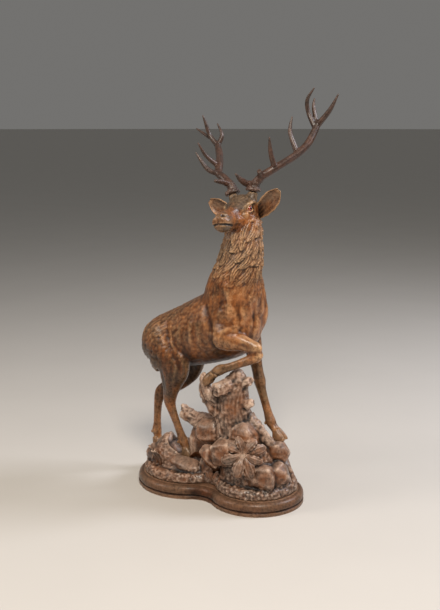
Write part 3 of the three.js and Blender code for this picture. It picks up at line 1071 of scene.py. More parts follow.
@dataclass
class Stag:
    """The animal: trunk, turned neck and head, four legs, mane, ears and hooves, carved as one piece.

    Attributes:
        head: The head's frame.
        facing: Side that faces the viewer, so that hair patterns close on the far side.
        voxel: Size of the faces in millimetres.
        fine_above: Level above which head and mane have faces of half that size.
        eye_at: Place of the left eye on the head.
        eye_r: Radius of an eye.
        ear_base: Middle of the left ear's root on the head.
        ear_tip: Its tip.
        ear_wide: Half widths from root to tip.
        ear_fine: Rows between those widths.
        ear_places: Points across each row of its back and of its front.
        trunk: Stations from the rump to the chest.
        neck: Stations from the chest to the nape.
        skull: Head-local stations from the nape to the nose.
        legs: Stations of the hind right, hind left and fore left legs, then the raised leg's upper and lower half.
        tail: Stations of the tail.
        soles: Middle of each standing hoof's sole.
        fetlocks: Joint above each standing hoof.
        toe: Rows of forward, aside, up, half width and half depth of a toe over its sole.
    """

    head: HeadFrame = field(default_factory=HeadFrame)
    facing: Triple = (0.62, -0.79, 0.0)
    voxel: float = 3.45
    fine_above: float = 584.0
    eye_at: Triple = (15.0, 31.5, 2.5)
    eye_r: float = 8.2
    ear_base: Triple = (-30.0, 27.0, -16.0)
    ear_tip: Triple = (-24.0, 103.0, 41.0)
    ear_wide: tuple[float, ...] = (11, 19, 23, 24, 20, 7)
    ear_fine: int = 9
    ear_places: int = 21
    trunk: Stations = (
        (-270, 0, 396, 12, 14),
        (-260, 0, 395, 42, 44),
        (-236, 0, 394, 62, 64),
        (-196, 0, 400, 70, 76),
        (-150, 0, 413, 68, 82),
        (-100, 0, 431, 69, 88),
        (-47, 0, 452, 73, 94),
        (10, 0, 476, 74, 97),
        (56, 0, 496, 67, 90),
        (90, 0, 507, 52, 68),
        (107, 0, 511, 22, 30),
    )
    neck: Stations = (
        (16, 0, 462, 62, 84, 0),
        (26, 0, 520, 66, 86, -6),
        (38, 0, 580, 66, 82, -20),
        (54, 0, 630, 60, 66, -40),
        (64, -1, 676, 54, 58, -58),
        (69, 0, 718, 47, 51, -70),
        (68, 4, 752, 42, 45, -78),
        (62, 10, 786, 33, 34, -82),
    )
    skull: Stations = (
        (-48, 0, 4, 12, 12),
        (-42, 0, 4, 29, 28),
        (-24, 0, 2, 37, 38),
        (0, 0, 0, 38, 40),
        (22, 0, -7, 33, 37),
        (48, 0, -16, 23.5, 31),
        (72, 0, -21, 20.5, 27),
        (94, 0, -24, 22, 26.5),
        (109, 0, -25.5, 23, 25.5),
        (121, 0, -26, 21.5, 23),
        (128.5, 0, -26, 17, 18.5),
        (132, 0, -26, 8, 9),
    )
    legs: tuple[Stations, ...] = (
        (
            (-190, -34, 408, 34, 62),
            (-158, -50, 380, 34, 70),
            (-130, -58, 345, 30, 56),
            (-136, -56, 305, 23, 38),
            (-146, -51, 268, 16.5, 24),
            (-154, -46, 240, 14.5, 20),
            (-150, -42, 214, 11.5, 14.5),
            (-139, -36, 178, 10, 11.5),
            (-127, -31, 142, 10.5, 12.5),
            (-121, -28, 124, 13, 15.5),
            (-114, -26, 108, 11.5, 12.5),
            (-110, -25, 98, 12, 12),
        ),
        (
            (-186, 34, 408, 34, 60),
            (-166, 48, 365, 32, 62),
            (-168, 52, 318, 27, 48),
            (-196, 48, 276, 19, 33),
            (-232, 42, 246, 15, 24),
            (-258, 35, 226, 14, 20),
            (-264, 29, 198, 11.5, 14),
            (-262, 22, 160, 10, 11.5),
            (-259, 17, 132, 10.5, 12.5),
            (-258, 14, 116, 13, 15),
            (-254, 13, 100, 11.5, 12),
            (-251, 12, 90, 12, 12),
        ),
        (
            (44, 44, 500, 24, 46),
            (50, 52, 455, 24, 34),
            (62, 54, 405, 20, 27),
            (74, 52, 366, 15, 18),
            (84, 48, 340, 14, 16),
            (92, 45, 319, 15.5, 17),
            (99, 43, 299, 12, 13.5),
            (110, 41, 272, 10.5, 11.5),
            (124, 39, 238, 10.5, 12),
            (134, 38, 215, 13, 15),
            (145, 37, 201, 11.5, 12),
            (155, 36, 192, 12, 12),
        ),
        (
            (50, -44, 500, 26, 54),
            (48, -59, 464, 28, 44),
            (62, -61, 450, 25, 31),
            (97, -52, 446, 19, 23),
            (122, -44, 438, 16.5, 19),
            (140, -38, 430, 16, 18),
            (151, -35, 424, 9, 10),
        ),
        (
            (146, -37, 424, 13, 13),
            (141, -40, 411, 15, 15),
            (120, -46, 399, 12, 13),
            (92, -54, 386, 10.5, 11),
            (62, -63, 373, 10.5, 11.5),
            (44, -69, 366, 13, 14.5),
            (31, -72, 357, 11.5, 12.5),
            (23, -76, 348, 12, 12),
        ),
    )
    tail: Stations = (
        (-256, 0, 436, 14, 12),
        (-272, 0, 420, 13, 12),
        (-284, 0, 396, 11, 11),
        (-287, 0, 372, 7, 8),
        (-286, 0, 356, 3, 3),
    )
    soles: tuple[Triple, ...] = ((-106, -24, 82.5), (-248, 12, 72.5), (165, 35, 172.5))
    fetlocks: tuple[Triple, ...] = ((-121, -28, 124), (-258, 14, 116), (134, 38, 215))
    toe: Stations = (
        (-10, 5, 25, 7, 9),
        (-5, 6.5, 15, 9, 13),
        (-1, 7.5, 6.3, 9.3, 17),
        (1, 8, 0, 9.3, 20),
        (2, 8, -4, 9.3, 20),
    )

    def core(self) -> list[Shell]:
        """The big masses, before they are melted together.

        Returns:
            Closed shapes.
        """
        shells = [limb(self.trunk, sides=56), limb(self.neck, sides=48), limb(self.tail)]
        shells += [limb(stations) for stations in self.legs]
        shells += [
            # Haunches and shoulders
            swell((-178, -42, 396), (64, 34, 70), (0, -24, 0), 40),
            swell((-178, 42, 396), (64, 34, 70), (0, -24, 0), 40),
            swell((48, -46, 492), (44, 30, 76), (0, 14, 0), 40),
            swell((62, 49, 500), (46, 34, 66), (0, 14, 0), 40),
            # Left side of the neck, down to the chest
            limb(
                (
                    (56, 16, 660, 28, 28),
                    (64, 30, 595, 37, 36),
                    (67, 36, 565, 39, 37),
                    (68, 41, 540, 40, 37),
                    (66, 47, 500, 40, 36),
                    (60, 48, 455, 28, 28),
                ),
                sides=40,
            ),
            # Chest
            swell((82, 0, 468), (32, 44, 60), (0, 10, 0), 40),
            swell((80, -30, 512), (28, 30, 56), (0, 8, 0), 40),
            swell((82, 30, 516), (28, 30, 56), (0, 8, 0), 40),
        ]
        face = [limb(self.skull, sides=40), swell((-20, 0, 22), (22, 26, 18))]
        for s in (-1, 1):
            # Jaw, brow and the stem that the antler sits on
            face += [
                swell((-8, s * 22, -14), (30, 15, 28)),
                swell((8, s * 29, 17), (18, 10, 8), (0, 12, s * 10)),
                limb(((-16, s * 20, 6, 15.5, 15.5), (-21, s * 30, 46, 12.5, 12.5)), (1, 0, 0), fine=10),
            ]
        return shells + [shell.moved(self.head) for shell in face]

    def ear(self, s: int) -> Shell:
        """A cupped ear with its hollow forward.

        Args:
            s: 1 for the left ear, -1 for the right.

        Returns:
            The closed shape.
        """
        base, tip = np.array(self.ear_base) * (1, s, 1), np.array(self.ear_tip) * (1, s, 1)
        stations = []
        for k, w in enumerate(self.ear_wide):
            t = k / (len(self.ear_wide) - 1)
            bow = math.sin(math.pi * t)
            at = base + (tip - base) * t + np.array((0, s * 2 * bow, -2 * bow))
            stations.append((*at, w, 9 - 5.5 * t))
        axis = Axis(stations, (0.15, s * -0.56, 0.8), self.ear_fine)
        out = axis.front * s
        rows = np.linspace(0, 1, len(axis.centre))[:, None]
        angle = np.linspace(0, np.pi, self.ear_places)[None, :]
        w, d = axis.half[:, :1], axis.half[:, 1:]
        back = d * (0.7 * np.cos(angle) ** 2 - 1.35 * np.sin(angle))
        ribs = 1.0 * np.cos(angle * 13) * np.sin(angle) * (1 - 0.8 * rows)
        rim = self.ear_rim()[:-2].reshape(len(rows), -1)[:, : angle.size]
        front = back + 2.6 * np.sin(angle) ** 0.5 + ribs + 2.2 * rim * np.sin(angle) ** 0.3
        edge = 1.0 + 0.02 * np.sin(9 * rows * np.pi)

        def sheet(shift: Array, scale: float) -> Array:
            """One side of the ear.

            Args:
                shift: Offset forward.
                scale: Width factor.

            Returns:
                Points as (row, place, 3).
            """
            across = (np.cos(angle) * w * edge * scale)[..., None] * axis.across[:, None]
            return axis.centre[:, None] + across + shift[..., None] * out[:, None]

        return skinned(np.concatenate([sheet(back, 1.0), sheet(front, 0.93)[:, ::-1]], axis=1)).moved(self.head)

    def ear_rim(self) -> Array:
        """How much each point of an ear belongs to its pale rim.

        Returns:
            Values in 0..1, in the order of the ear's points.
        """
        rows = np.linspace(0, 1, (len(self.ear_wide) - 1) * self.ear_fine + 1)[:, None]
        angle = np.linspace(0, np.pi, self.ear_places)[None, :]
        rim = np.maximum(ease(0.72, 0.95, np.abs(np.cos(angle))), ease(0.86, 0.97, rows))
        rim = rim * ease(0.02, 0.2, rows)
        return np.concatenate([np.concatenate([rim, rim[:, ::-1]], axis=1).ravel(), np.zeros(2)])

    def lids(self, s: int) -> list[Shell]:
        """Upper and lower lids round an eye.

        Args:
            s: 1 for the left eye, -1 for the right.

        Returns:
            Closed shapes.
        """
        eye = np.array(self.eye_at)
        ahead = unit(np.array((0.93, -0.2, -0.3)))
        up = unit(np.array((0.3, 0.0, 0.95)))
        out = np.cross(up, ahead)
        made = []
        for rise, thick in ((74.0, 2.3), (-64.0, 2.2)):
            stations = []
            for turn in range(-84, 85, 14):
                a = math.radians(turn)
                e = math.radians(rise) * math.cos(a) ** 0.8
                r = thick * (0.4 + 0.6 * math.cos(a))
                reach = self.eye_r + 0.5
                at = eye + reach * (out * math.cos(e) * math.cos(a) + ahead * math.sin(a) * 1.12 + up * math.sin(e))
                stations.append((at[0], s * at[1], at[2], r, r))
            made.append(limb(stations, (0, 1, 0.1), 12, 3).moved(self.head))
        return made

    def toes(self) -> list[Shell]:
        """The cloven hooves and dew claws.

        Returns:
            Closed shapes, flat under each standing hoof.
        """
        go = unit(np.array((1.0, 0.08, 0.0)))
        across = np.array((-go[1], go[0], 0.0))
        made = []
        for at, joint in zip(self.soles, self.fetlocks):
            for s in (-1, 1):
                stations = [
                    (*(np.array(at) + go * f + across * s * o + (0, 0, u)), w, d) for f, o, u, w, d in self.toe
                ]
                toe = limb(stations, tuple(across), 24, 6)
                toe.points[:, 2] = np.maximum(toe.points[:, 2], at[2])
                made.append(toe)
                claw = np.array(joint) - go * 11.5 + across * s * 6 + (0, 0, -5)
                made.append(swell(claw, (4.2, 3.8, 5.8), (0, 24, 0), 14))
        for s in (-1, 1):
            rows = (
                (27, -75 + s * 4, 356, 7, 9),
                (20, -78 + s * 6, 346, 9, 12),
                (13, -81 + s * 7, 335, 9, 13),
                (7, -83 + s * 6, 325, 7, 8),
            )
            made.append(limb(rows, (0.2, 1, 0), 24, 6))
            made.append(swell((37, -73 + s * 7, 352), (6.0, 4.0, 4.6), (0, 30, 0), 14))
        return made

    def face(self, skin: Skin) -> Array:
        """Models brows, cheeks, nostrils, lips and tear ducts.

        Args:
            skin: The melted masses.

        Returns:
            How pale each point is, from 1 on the pale brow and the painted highlights on the cheekbone and the
            nostril's wing, to -1 in the painted shade of the mouth line and the nostril.
        """
        p = self.head.inward(skin.points)
        ours = (p[:, 0] > -50) & (np.hypot(p[:, 1], p[:, 2] + 10) < 62)
        narrow = ease(22, 62, p[:, 0]) * ease(-24, 2, p[:, 2]) * ours
        p[:, 1] *= 1.0 - 0.26 * narrow
        skin.points = self.head.outward(p)
        p[:, 1] = np.abs(p[:, 1])
        mounds = (
            ((115, 16, -7), (9, 6, 7), 3.4),  # wing of the nostril
            ((122, 12.5, -9.5), (6.0, 4.6, 3.6), -7.5),  # nostril
            ((126, 10, -19), (7, 6, 5), 2.0),  # front of the upper lip
            ((112, 18, -27), (12, 7, 5), 1.8),  # its side
            ((106, 5, -46), (15, 12, 6), 2.0),  # chin
            ((56, 22, -15), (17, 9, 11), -2.8),  # hollow of the muzzle's side
            ((31, 29, -11), (9, 7, 7), 3.8),  # cheekbone
            ((-4, 32, -28), (20, 10, 14), 2.0),  # jaw muscle
            ((30, 0, 24), (18, 11, 10), -1.6),  # dip of the forehead
            ((129, 3, -14), (5, 7, 5), 1.2),  # tip of the nose
            ((72, 12, -1), (28, 6, 6), 1.0),  # nose bone
            ((-6, 0, 38), (16, 14, 10), 2.0),  # crown
        )
        height = np.zeros(len(p))
        for at, reach, rise in mounds:
            height += rise * np.exp(-(((p - np.array(at)) / np.array(reach)) ** 2).sum(axis=1))
        cuts = (
            # Mouth
            Stroke(
                ((132, 0, -30), (130, 8, -31), (126, 15, -32), (116, 20, -34.5), (98, 21, -37), (86, 21, -39)),
                2.1,
                -3.8,
            ),
            # Slit behind the nostril, and the tear duct
            Stroke(((122, 12.5, -9), (116, 17, -11), (108, 19.5, -14)), 2.4, -2.6),
            Stroke(((27, 31, -3), (35, 28.5, -5), (42, 25, -11), (37, 26, -20)), 2.6, -3.0),
            # Brow
            Stroke(((41, 25, -2), (30, 29, 8), (20, 34, 14), (4, 38, 19), (-8, 38, 19), (-16, 38, 13)), 4.0, 3.0),
            # Groove round the eye
            Stroke(
                ((27, 30, 0), (24, 33, 11), (12, 35, 14), (2, 36, 8), (3, 36, -4), (14, 35, -10), (25, 32, -7)),
                3.0,
                -2.6,
            ),
            # Groove under the nose, and the jaw line
            Stroke(((133, 1, -16), (132, 1, -26)), 1.7, -1.4),
            Stroke(((88, 22, -40), (64, 25, -42), (34, 32, -46)), 5.0, -1.8),
        )
        both = []  # each cut on the left and right: the mouth comes first, the brow seventh
        for cut in cuts:
            for s in (1, -1):
                path = self.head.outward(np.array(cut.path) * np.array([1, s, 1]))
                both.append(Stroke(tuple(map(tuple, path)), cut.wide, cut.rise))
        brow = skin.drawn(both[6:8]) / cuts[3].rise
        # Painted highlights on the cheekbone and the nostril's wing join the pale brow; the mouth line and the nostril
        # get painted shade
        spread = ((p - np.array((33, 29, -12))) / np.array((8, 9, 9))) ** 2
        nose = ((p - np.array((119, 17, -12))) / np.array((6, 6, 9))) ** 2
        hole = ((p - np.array((123, 12.5, -10))) / np.array((6.5, 4.6, 3.4))) ** 2
        pale = 0.6 * brow + 0.8 * np.exp(-spread.sum(axis=1)) + 0.5 * np.exp(-nose.sum(axis=1))
        dark = np.clip(1.4 * skin.drawn(both[:2]) / cuts[0].rise, 0, 1) + 1.2 * np.exp(-hole.sum(axis=1))
        skin.push(np.where(ours, height, 0.0) + skin.drawn(both))
        return np.clip(np.where(ours, pale - 2.0 * dark, 0.0), -1, 1)

    def muscles(self, skin: Skin) -> None:
        """Draws the folds and ridges between the muscles.

        Args:
            skin: The melted masses.
        """
        skin.push(
            skin.drawn(
                (
                    # Folds of the flank
                    Stroke(
                        ((-154, -50, 470), (-144, -67, 435), (-125, -74, 402), (-101, -74, 369), (-91, -66, 343)),
                        9,
                        -4.2,
                        True,
                    ),
                    Stroke(((-130, -63, 452), (-120, -67, 417), (-103, -64, 393), (-79, -53, 379)), 6, -1.6, True),
                    # Ribs
                    Stroke(((-99, -63, 470), (-101, -67, 440), (-96, -67, 408)), 9, 1.7, True),
                    Stroke(((-57, -67, 486), (-58, -70, 449), (-55, -66, 412)), 9, 1.9, True),
                    Stroke(((-23, -70, 490), (-26, -71, 451), (-24, -65, 418)), 9, 1.6, True),
                    # Rear edge of the shoulder, and furrows of the chest
                    Stroke(((-17, -60, 535), (11, -71, 490), (26, -76, 462), (19, -62, 427)), 10, -4.0, True),
                    Stroke(((90, -47, 545), (92, -48, 505), (90, -50, 470)), 7, -4.2),
                    Stroke(((112, -11, 545), (110, -8, 498), (109, -19, 462)), 8, -4.2),
                    # Cords of the neck
                    Stroke(((62, -64, 600), (72, -67, 552), (76, -64, 512)), 12, 4.6),
                    Stroke(((100, 22, 585), (108, 22, 540), (106, 20, 500)), 11, 3.6),
                    # Edges of the thigh, then tendons of the legs
                    Stroke(((-100, -76, 372), (-106, -76, 334), (-120, -74, 296)), 5, 1.6),
                    Stroke(((-150, -74, 340), (-150, -70, 300), (-156, -60, 262)), 6, -2.0),
                    Stroke(((-156, -52, 236), (-146, -46, 196), (-136, -40, 158)), 4, -1.3),
                    Stroke(((84, -74, 452), (110, -64, 444), (134, -52, 434)), 5, -1.3),
                    Stroke(((120, -54, 396), (90, -62, 384), (62, -71, 371)), 3.5, -1.1),
                    Stroke(((80, 34, 380), (92, 30, 330), (108, 28, 280), (122, 27, 240)), 4, -1.2),
                    # Spine
                    Stroke(((-240, 0, 455), (-160, 0, 492), (-80, 0, 520), (0, 0, 560)), 6, 1.4),
                )
            )
        )

    def hair(self, skin: Skin) -> None:
        """Carves the mane's locks and the shorter coat.

        Args:
            skin: The modelled animal.
        """
        p = skin.points
        local = self.head.inward(p)
        z = p[:, 2]
        head = Axis(self.skull).placed(self.head)
        neck = Axis(self.neck)
        trunk = Axis(self.trunk)
        on_head, _, _, _ = head.locate(p)
        head_part = ease(1.45, 1.15, on_head) * ease(-52, -30, local[:, 0])
        on_neck, up, turn, radius = neck.locate(p, self.facing)
        ragged = 36 * noise(np.stack([turn * 2.2, turn * 0], axis=1), 5, 2)
        mane = ease(1.9, 1.5, on_neck) * ease(548, 622, z + ragged) * (1 - head_part) * ease(800, 782, z)
        arc = turn * radius
        lie = -0.9 * up - 0.42 * arc
        side = 0.9 * arc - 0.42 * up
        fade = 0.5 + 0.5 * ease(560, 660, z)
        big = locks(lie, side, 60, 23, 11, 0.5, 5.5)
        small = locks(lie + 9, side, 36, 13, 23, 0.5, 3.0)
        height = mane * fade * (9.5 * (big - 0.42) + 3.0 * (small - 0.4))
        # Short coat: strokes lie back along the trunk, down the legs and back over the cheeks
        on_trunk, back, round_trunk, trunk_r = trunk.locate(p, (0, -1, 0.2))
        coat = ease(1.5, 1.2, on_trunk) * (1 - mane) * ease(640, 560, z)
        haunch = 0.55 + 0.65 * ease(-60, -170, p[:, 0])
        strokes = locks(-back + 0.35 * round_trunk * trunk_r, round_trunk * trunk_r, 27, 7.5, 31, 0.8)
        height += coat * haunch * 2.9 * (strokes - 0.4)
        chest = (1 - coat) * (1 - mane) * ease(430, 480, z) * ease(1.6, 1.3, on_neck) * (1 - head_part)
        height += chest * 1.5 * (locks(-up, arc, 52, 12, 37, 0.5) - 0.4)
        for k, stations in enumerate(self.legs):
            near, down, round_leg, leg_r = Axis(stations).locate(p, self.facing)
            part = ease(1.35, 1.15, near) * (1 - coat) * ease(200, 330, z) * (1 - mane)
            height += part * 0.6 * (locks(down, round_leg * leg_r, 24, 6, 41 + k, 0.6) - 0.4)
        near, down, round_tail, tail_r = Axis(self.tail).locate(p, (-1, 0, 0))
        height += ease(1.4, 1.1, near) * 1.8 * (locks(down, round_tail * tail_r, 30, 7, 53, 0.5) - 0.4)
        on_face = head_part * ease(104, 60, local[:, 0])
        angle = np.arctan2(local[:, 1], local[:, 2] + 6)
        crown = ease(8, 26, local[:, 2]) * ease(40, 10, local[:, 0])
        fur = locks(-local[:, 0], angle * 34, 19, 5.5, 61, 0.7)
        height += on_face * (0.75 + 1.3 * crown) * (fur - 0.4)
        # Shallow facets left by the gouge
        height += 0.35 * noise(p / 13.0, 71, 2) * (1 - 0.6 * head_part)
        skin.push(height)

    def marks(self, skin: Skin, pale: Array) -> dict[Mark, Array]:
        """Works out stain, wear, dust, painted shade and painted highlights for the finish.

        Args:
            skin: The carved animal with its ears and hooves.
            pale: How pale each point is, from 1 on pale parts and painted highlights, to -1 in painted shade.

        Returns:
            The marks.
        """
        p = skin.points
        local = self.head.inward(p)
        hollow, worn = dirt_wear_and_painted_light(skin, 0.9, 8.0)
        ours = (np.abs(local[:, 1]) < 120) & (local[:, 0] > -60) & (local[:, 2] > -55) & (p[:, 2] > 715)
        crown = ease(2, 20, local[:, 2] + 0.2 * local[:, 0]) * ease(70, 30, local[:, 0]) * ours
        spread = ((local - np.array((34, 0, -20))) / np.array((34, 60, 18))) ** 2
        cheek = np.exp(-spread.sum(axis=1)) * ours
        muzzle = ease(84, 104, local[:, 0]) * ours
        ear = ease(40, 52, np.abs(local[:, 1])) * ours
        patches = noise(p / 46.0, 81, 3)
        tone = 0.3 * patches - 1.1 * crown * (1 - ear) + 0.7 * cheek + 0.15 * ear
        mane = ease(580, 640, p[:, 2]) * (1 - ours)
        # A band over the thighs, elbows and belly, about 230 to 410 mm up, is darkened as painted shade
        tone += 0.05 * mane - 0.6 * ease(410, 350, p[:, 2]) * ease(230, 300, p[:, 2])
        tone += 0.4 * ease(30, 90, p[:, 0]) * ease(600, 560, p[:, 2]) * ease(430, 470, p[:, 2])
        hoof = np.zeros(len(p))
        for at in self.soles:
            near = np.hypot((p[:, 0] - at[0]) / 34, (p[:, 1] - at[1]) / 26)
            hoof = np.maximum(hoof, ease(1.15, 0.9, near) * ease(at[2] + 30, at[2] + 20, p[:, 2]))
        tone -= 0.3 * hoof
        dust = 0.18 * muzzle + 0.32 * ear + 0.2 * hoof + 0.35 * crown + 0.3 * mane * ease(610, 690, p[:, 2])
        dust += 0.06 * ease(0.0, 0.8, skin.normals()[:, 2])
        chin = muzzle * ease(-30, -38, local[:, 2])
        tone -= 0.7 * chin
        # Split into the pale parts with their painted highlights and the painted shade of mouth and nostril
        pale, dark = np.maximum(pale, 0.0), np.maximum(-pale, 0.0)
        hollow *= 1 - 0.45 * ear
        # Edges are less pale low on the body, and the mane's lock ridges get painted highlights
        worn *= (1 - 0.6 * ease(430, 390, p[:, 2])) * (1 + 0.6 * mane)
        return {
            Mark.HOLLOW: np.maximum(hollow * (1 - 0.75 * pale), 0.95 * dark),
            Mark.WORN: np.clip(np.maximum(worn, 0.8 * pale), 0, 1),
            Mark.TONE: tone,
            Mark.DUST: np.clip(dust * (1 - 0.7 * pale), 0, 0.8),
        }

    def build(self, dresser: Dresser) -> bpy.types.Object:
        """Carves and dresses the animal.

        Args:
            dresser: Holds the finishes.

        Returns:
            The piece.
        """
        skin = Skin.remeshed(self.core(), self.voxel)
        skin.smooth(6)
        skin.fillet(22)
        skin.refine(skin.points[:, 2] > self.fine_above)
        skin.smooth(2)
        self.muscles(skin)
        face = self.face(skin)
        self.hair(skin)
        toes, lids = self.toes(), [*self.lids(1), *self.lids(-1)]
        skin.add([*toes, self.ear(1), self.ear(-1), *lids])
        plain = np.zeros(sum(len(t.points) for t in toes))
        # Ear rims are pale, partly as painted rim highlight; the lids are pale all over
        rims = 0.45 * np.tile(self.ear_rim(), 2)
        pale = np.concatenate([face, plain, rims, np.ones(sum(len(t.points) for t in lids))])
        return dresser.dress(skin, "stag", Finish.STAG, self.marks(skin, pale))


@dataclass
class Eye:
    """A glass eye set in the head.

    Attributes:
        head: The head's frame.
        at: Place of the left eye.
        radius: Its radius.
    """

    head: HeadFrame = field(default_factory=HeadFrame)
    at: Triple = Stag.eye_at
    radius: float = Stag.eye_r

    def build(self, dresser: Dresser, s: int, name: str) -> bpy.types.Object:
        """Makes one eye.

        Args:
            dresser: Holds the finishes.
            s: 1 for the left eye, -1 for the right.
            name: The CAD node.

        Returns:
            The piece.
        """
        centre = (self.at[0], s * self.at[1], self.at[2])
        ball = swell(centre, (self.radius,) * 3, detail=40)
        look = unit(np.array((0.25, s * 0.95, 0.05)))
        ring = np.arccos(np.clip(unit(ball.points - np.array(centre)) @ look, -1, 1)) / (0.5 * np.pi)
        return dresser.dress(Skin(ball.moved(self.head)), name, Finish.EYE, {Mark.TONE: ring})


@dataclass
class Antler:
    """One antler: pearled coronet, ridged beam and smooth tines.

    Attributes:
        s: 1 for the left antler, -1 for the right.
        beam: Rows of back, out, up and radius from the burr.
        tines: The same for each tine.
        head: The head's frame.
        burr: Seat of the left antler on the head.
        burr_r: Radius of the coronet.
        lean: Direction the left antler rises from its seat.
        voxel: Size of its faces.
    """

    s: int
    beam: Stations
    tines: tuple[Stations, ...]
    head: HeadFrame = field(default_factory=HeadFrame)
    burr: Triple = (-21.0, 30.0, 46.3)
    burr_r: float = 19.0
    lean: Triple = (-5.0, 10.0, 40.0)
    voxel: float = 1.35

    def axis(self, rows: Stations, side: Point) -> Axis:
        """A beam or tine in the part's frame.

        Args:
            rows: Back, out, up and radius.
            side: Direction its width is measured along.

        Returns:
            The axis.
        """
        f, left, u = self.burr
        put = [(f - back, self.s * (left + out), u + up, r, r * 0.9) for back, out, up, r in rows]
        return Axis(put, side, 8).placed(self.head)

    def build(self, dresser: Dresser, name: str) -> bpy.types.Object:
        """Carves and dresses the antler.

        Args:
            dresser: Holds the finishes.
            name: The CAD node.

        Returns:
            The piece.
        """
        f, left, u = self.burr
        rise = unit(np.array(self.lean) * (1, self.s, 1))
        seat = np.array((f, self.s * left, u)) + rise * GAP
        profile = ((0, self.burr_r - 4), (3, self.burr_r), (9, self.burr_r - 1), (13, 12))
        rings = [(*(seat + rise * h), r, r) for h, r in profile]
        coronet = Axis(rings, (1, 0, 0), 5).placed(self.head)
        axes = [self.axis(self.beam, (1, 0, 0))] + [self.axis(t, (1, 0, 0.2)) for t in self.tines]
        skin = Skin.remeshed([a.shell(20) for a in (coronet, *axes)], self.voxel)
        skin.smooth(14)
        skin.fillet(45)
        p = skin.points
        best = np.full(len(p), 9.0)
        height = np.zeros(len(p))
        tip = np.zeros(len(p))
        for k, axis in enumerate(axes):
            near, along, angle, radius = axis.locate(p)
            ours = near < best
            best = np.minimum(best, near)
            flutes = noise(np.stack([along / 34, np.cos(angle) * 2.2, np.sin(angle) * 2.2], axis=1), 90 + k, 2)
            ends = ease(0.45, 1.0, along / axis.arc[-1]) if k else ease(0.9, 1.0, along / axis.arc[-1])
            height = np.where(ours, 1.0 * flutes * (1 - ends) * np.clip(radius / 10, 0.3, 1), height)
            tip = np.where(ours, ends, tip)
        local = self.head.inward(p)
        lift = (local - seat) @ rise
        first, _ = cells(p / 5.2, 101)
        pearls = np.clip(1 - (first / 0.55) ** 2, 0, 1)
        low = ease(62, 14, lift)
        height = height + pearls * (1.0 * low + 1.2 * ease(16, 11, lift))
        height = np.where(lift < 0.6, 0.0, height)
        skin.push(height)
        under = np.minimum((self.head.inward(skin.points) - seat) @ rise, 0.0)
        skin.points = skin.points - under[:, None] * (rise @ self.head.basis)
        hollow, worn = dirt_wear_and_painted_light(skin, 1.6, 7.0)
        up = skin.normals()[:, 2]
        dust = 0.1 + 0.25 * ease(-0.1, 0.9, up) + 0.2 * low
        tone = 0.35 * noise(p / 40.0, 103, 2) - 0.35 * tip + 0.25 * low
        marks = {
            Mark.HOLLOW: hollow * (1 - 0.8 * tip),
            Mark.WORN: worn * (1 - 0.7 * tip) + 0.08 * tip,
            Mark.TONE: tone,
            Mark.DUST: np.clip(dust, 0, 0.7),
        }
        return dresser.dress(skin, name, Finish.ANTLER, marks)


LEFT_ANTLER = Antler(
    1,
    (
        (0, -2, 8, 13.5),
        (6, 23, 33, 12.5),
        (18, 52, 49, 11.5),
        (45, 76, 64, 11),
        (80, 100, 84, 11),
        (110, 119, 108, 10.5),
        (135, 131, 138, 10.5),
        (150, 139, 161, 9),
    ),
    (
        ((0, 0, 20, 9), (-6, -12, 23, 9), (-35, -13, 32, 7), (-66, -11, 47, 2.5)),
        ((4, 24, 33, 9), (-5, 29, 43, 8), (-14, 31, 50, 6.5)),
        ((22, 59, 54, 8.5), (2, 62, 94, 6.5), (-18, 73, 130, 2)),
        ((82, 100, 88, 8.5), (86, 86, 138, 6.5), (90, 86, 161, 5), (95, 93, 187, 2)),
        ((144, 134, 148, 8.5), (140, 120, 196, 6.5), (132, 125, 227, 5.5), (122, 153, 253, 2)),
        ((150, 137, 158, 7.5), (156, 130, 206, 5.5), (160, 134, 232, 2)),
        ((148, 137, 156, 9), (154, 174, 190, 7), (158, 204, 230, 2)),
    ),
)
RIGHT_ANTLER = Antler(
    -1,
    (
        (0, -2, 8, 13.5),
        (1, 2, 22, 13),
        (6, 22, 45, 12),
        (18, 45, 62, 11.5),
        (45, 55, 87, 11),
        (85, 73, 110, 10.5),
        (120, 92, 133, 10.5),
        (150, 110, 155, 9),
    ),
    (
        ((0, 2, 24, 9), (-8, 9, 30, 9), (-30, 15, 36, 7.5), (-55, 19, 39, 4)),
        ((16, 43, 60, 8.5), (-5, 62, 74, 7), (-14, 74, 97, 5.5), (-20, 86, 125, 2)),
        ((40, 54, 82, 8.5), (10, 73, 114, 6), (-20, 76, 148, 2)),
        ((144, 107, 150, 8.5), (140, 126, 184, 6.5), (130, 129, 217, 5), (122, 131, 240, 2)),
        ((141, 126, 176, 6), (150, 153, 195, 4.5), (158, 177, 212, 2)),
        ((148, 108, 152, 8), (156, 96, 180, 6), (160, 108, 215, 2)),
    ),
)


# The base


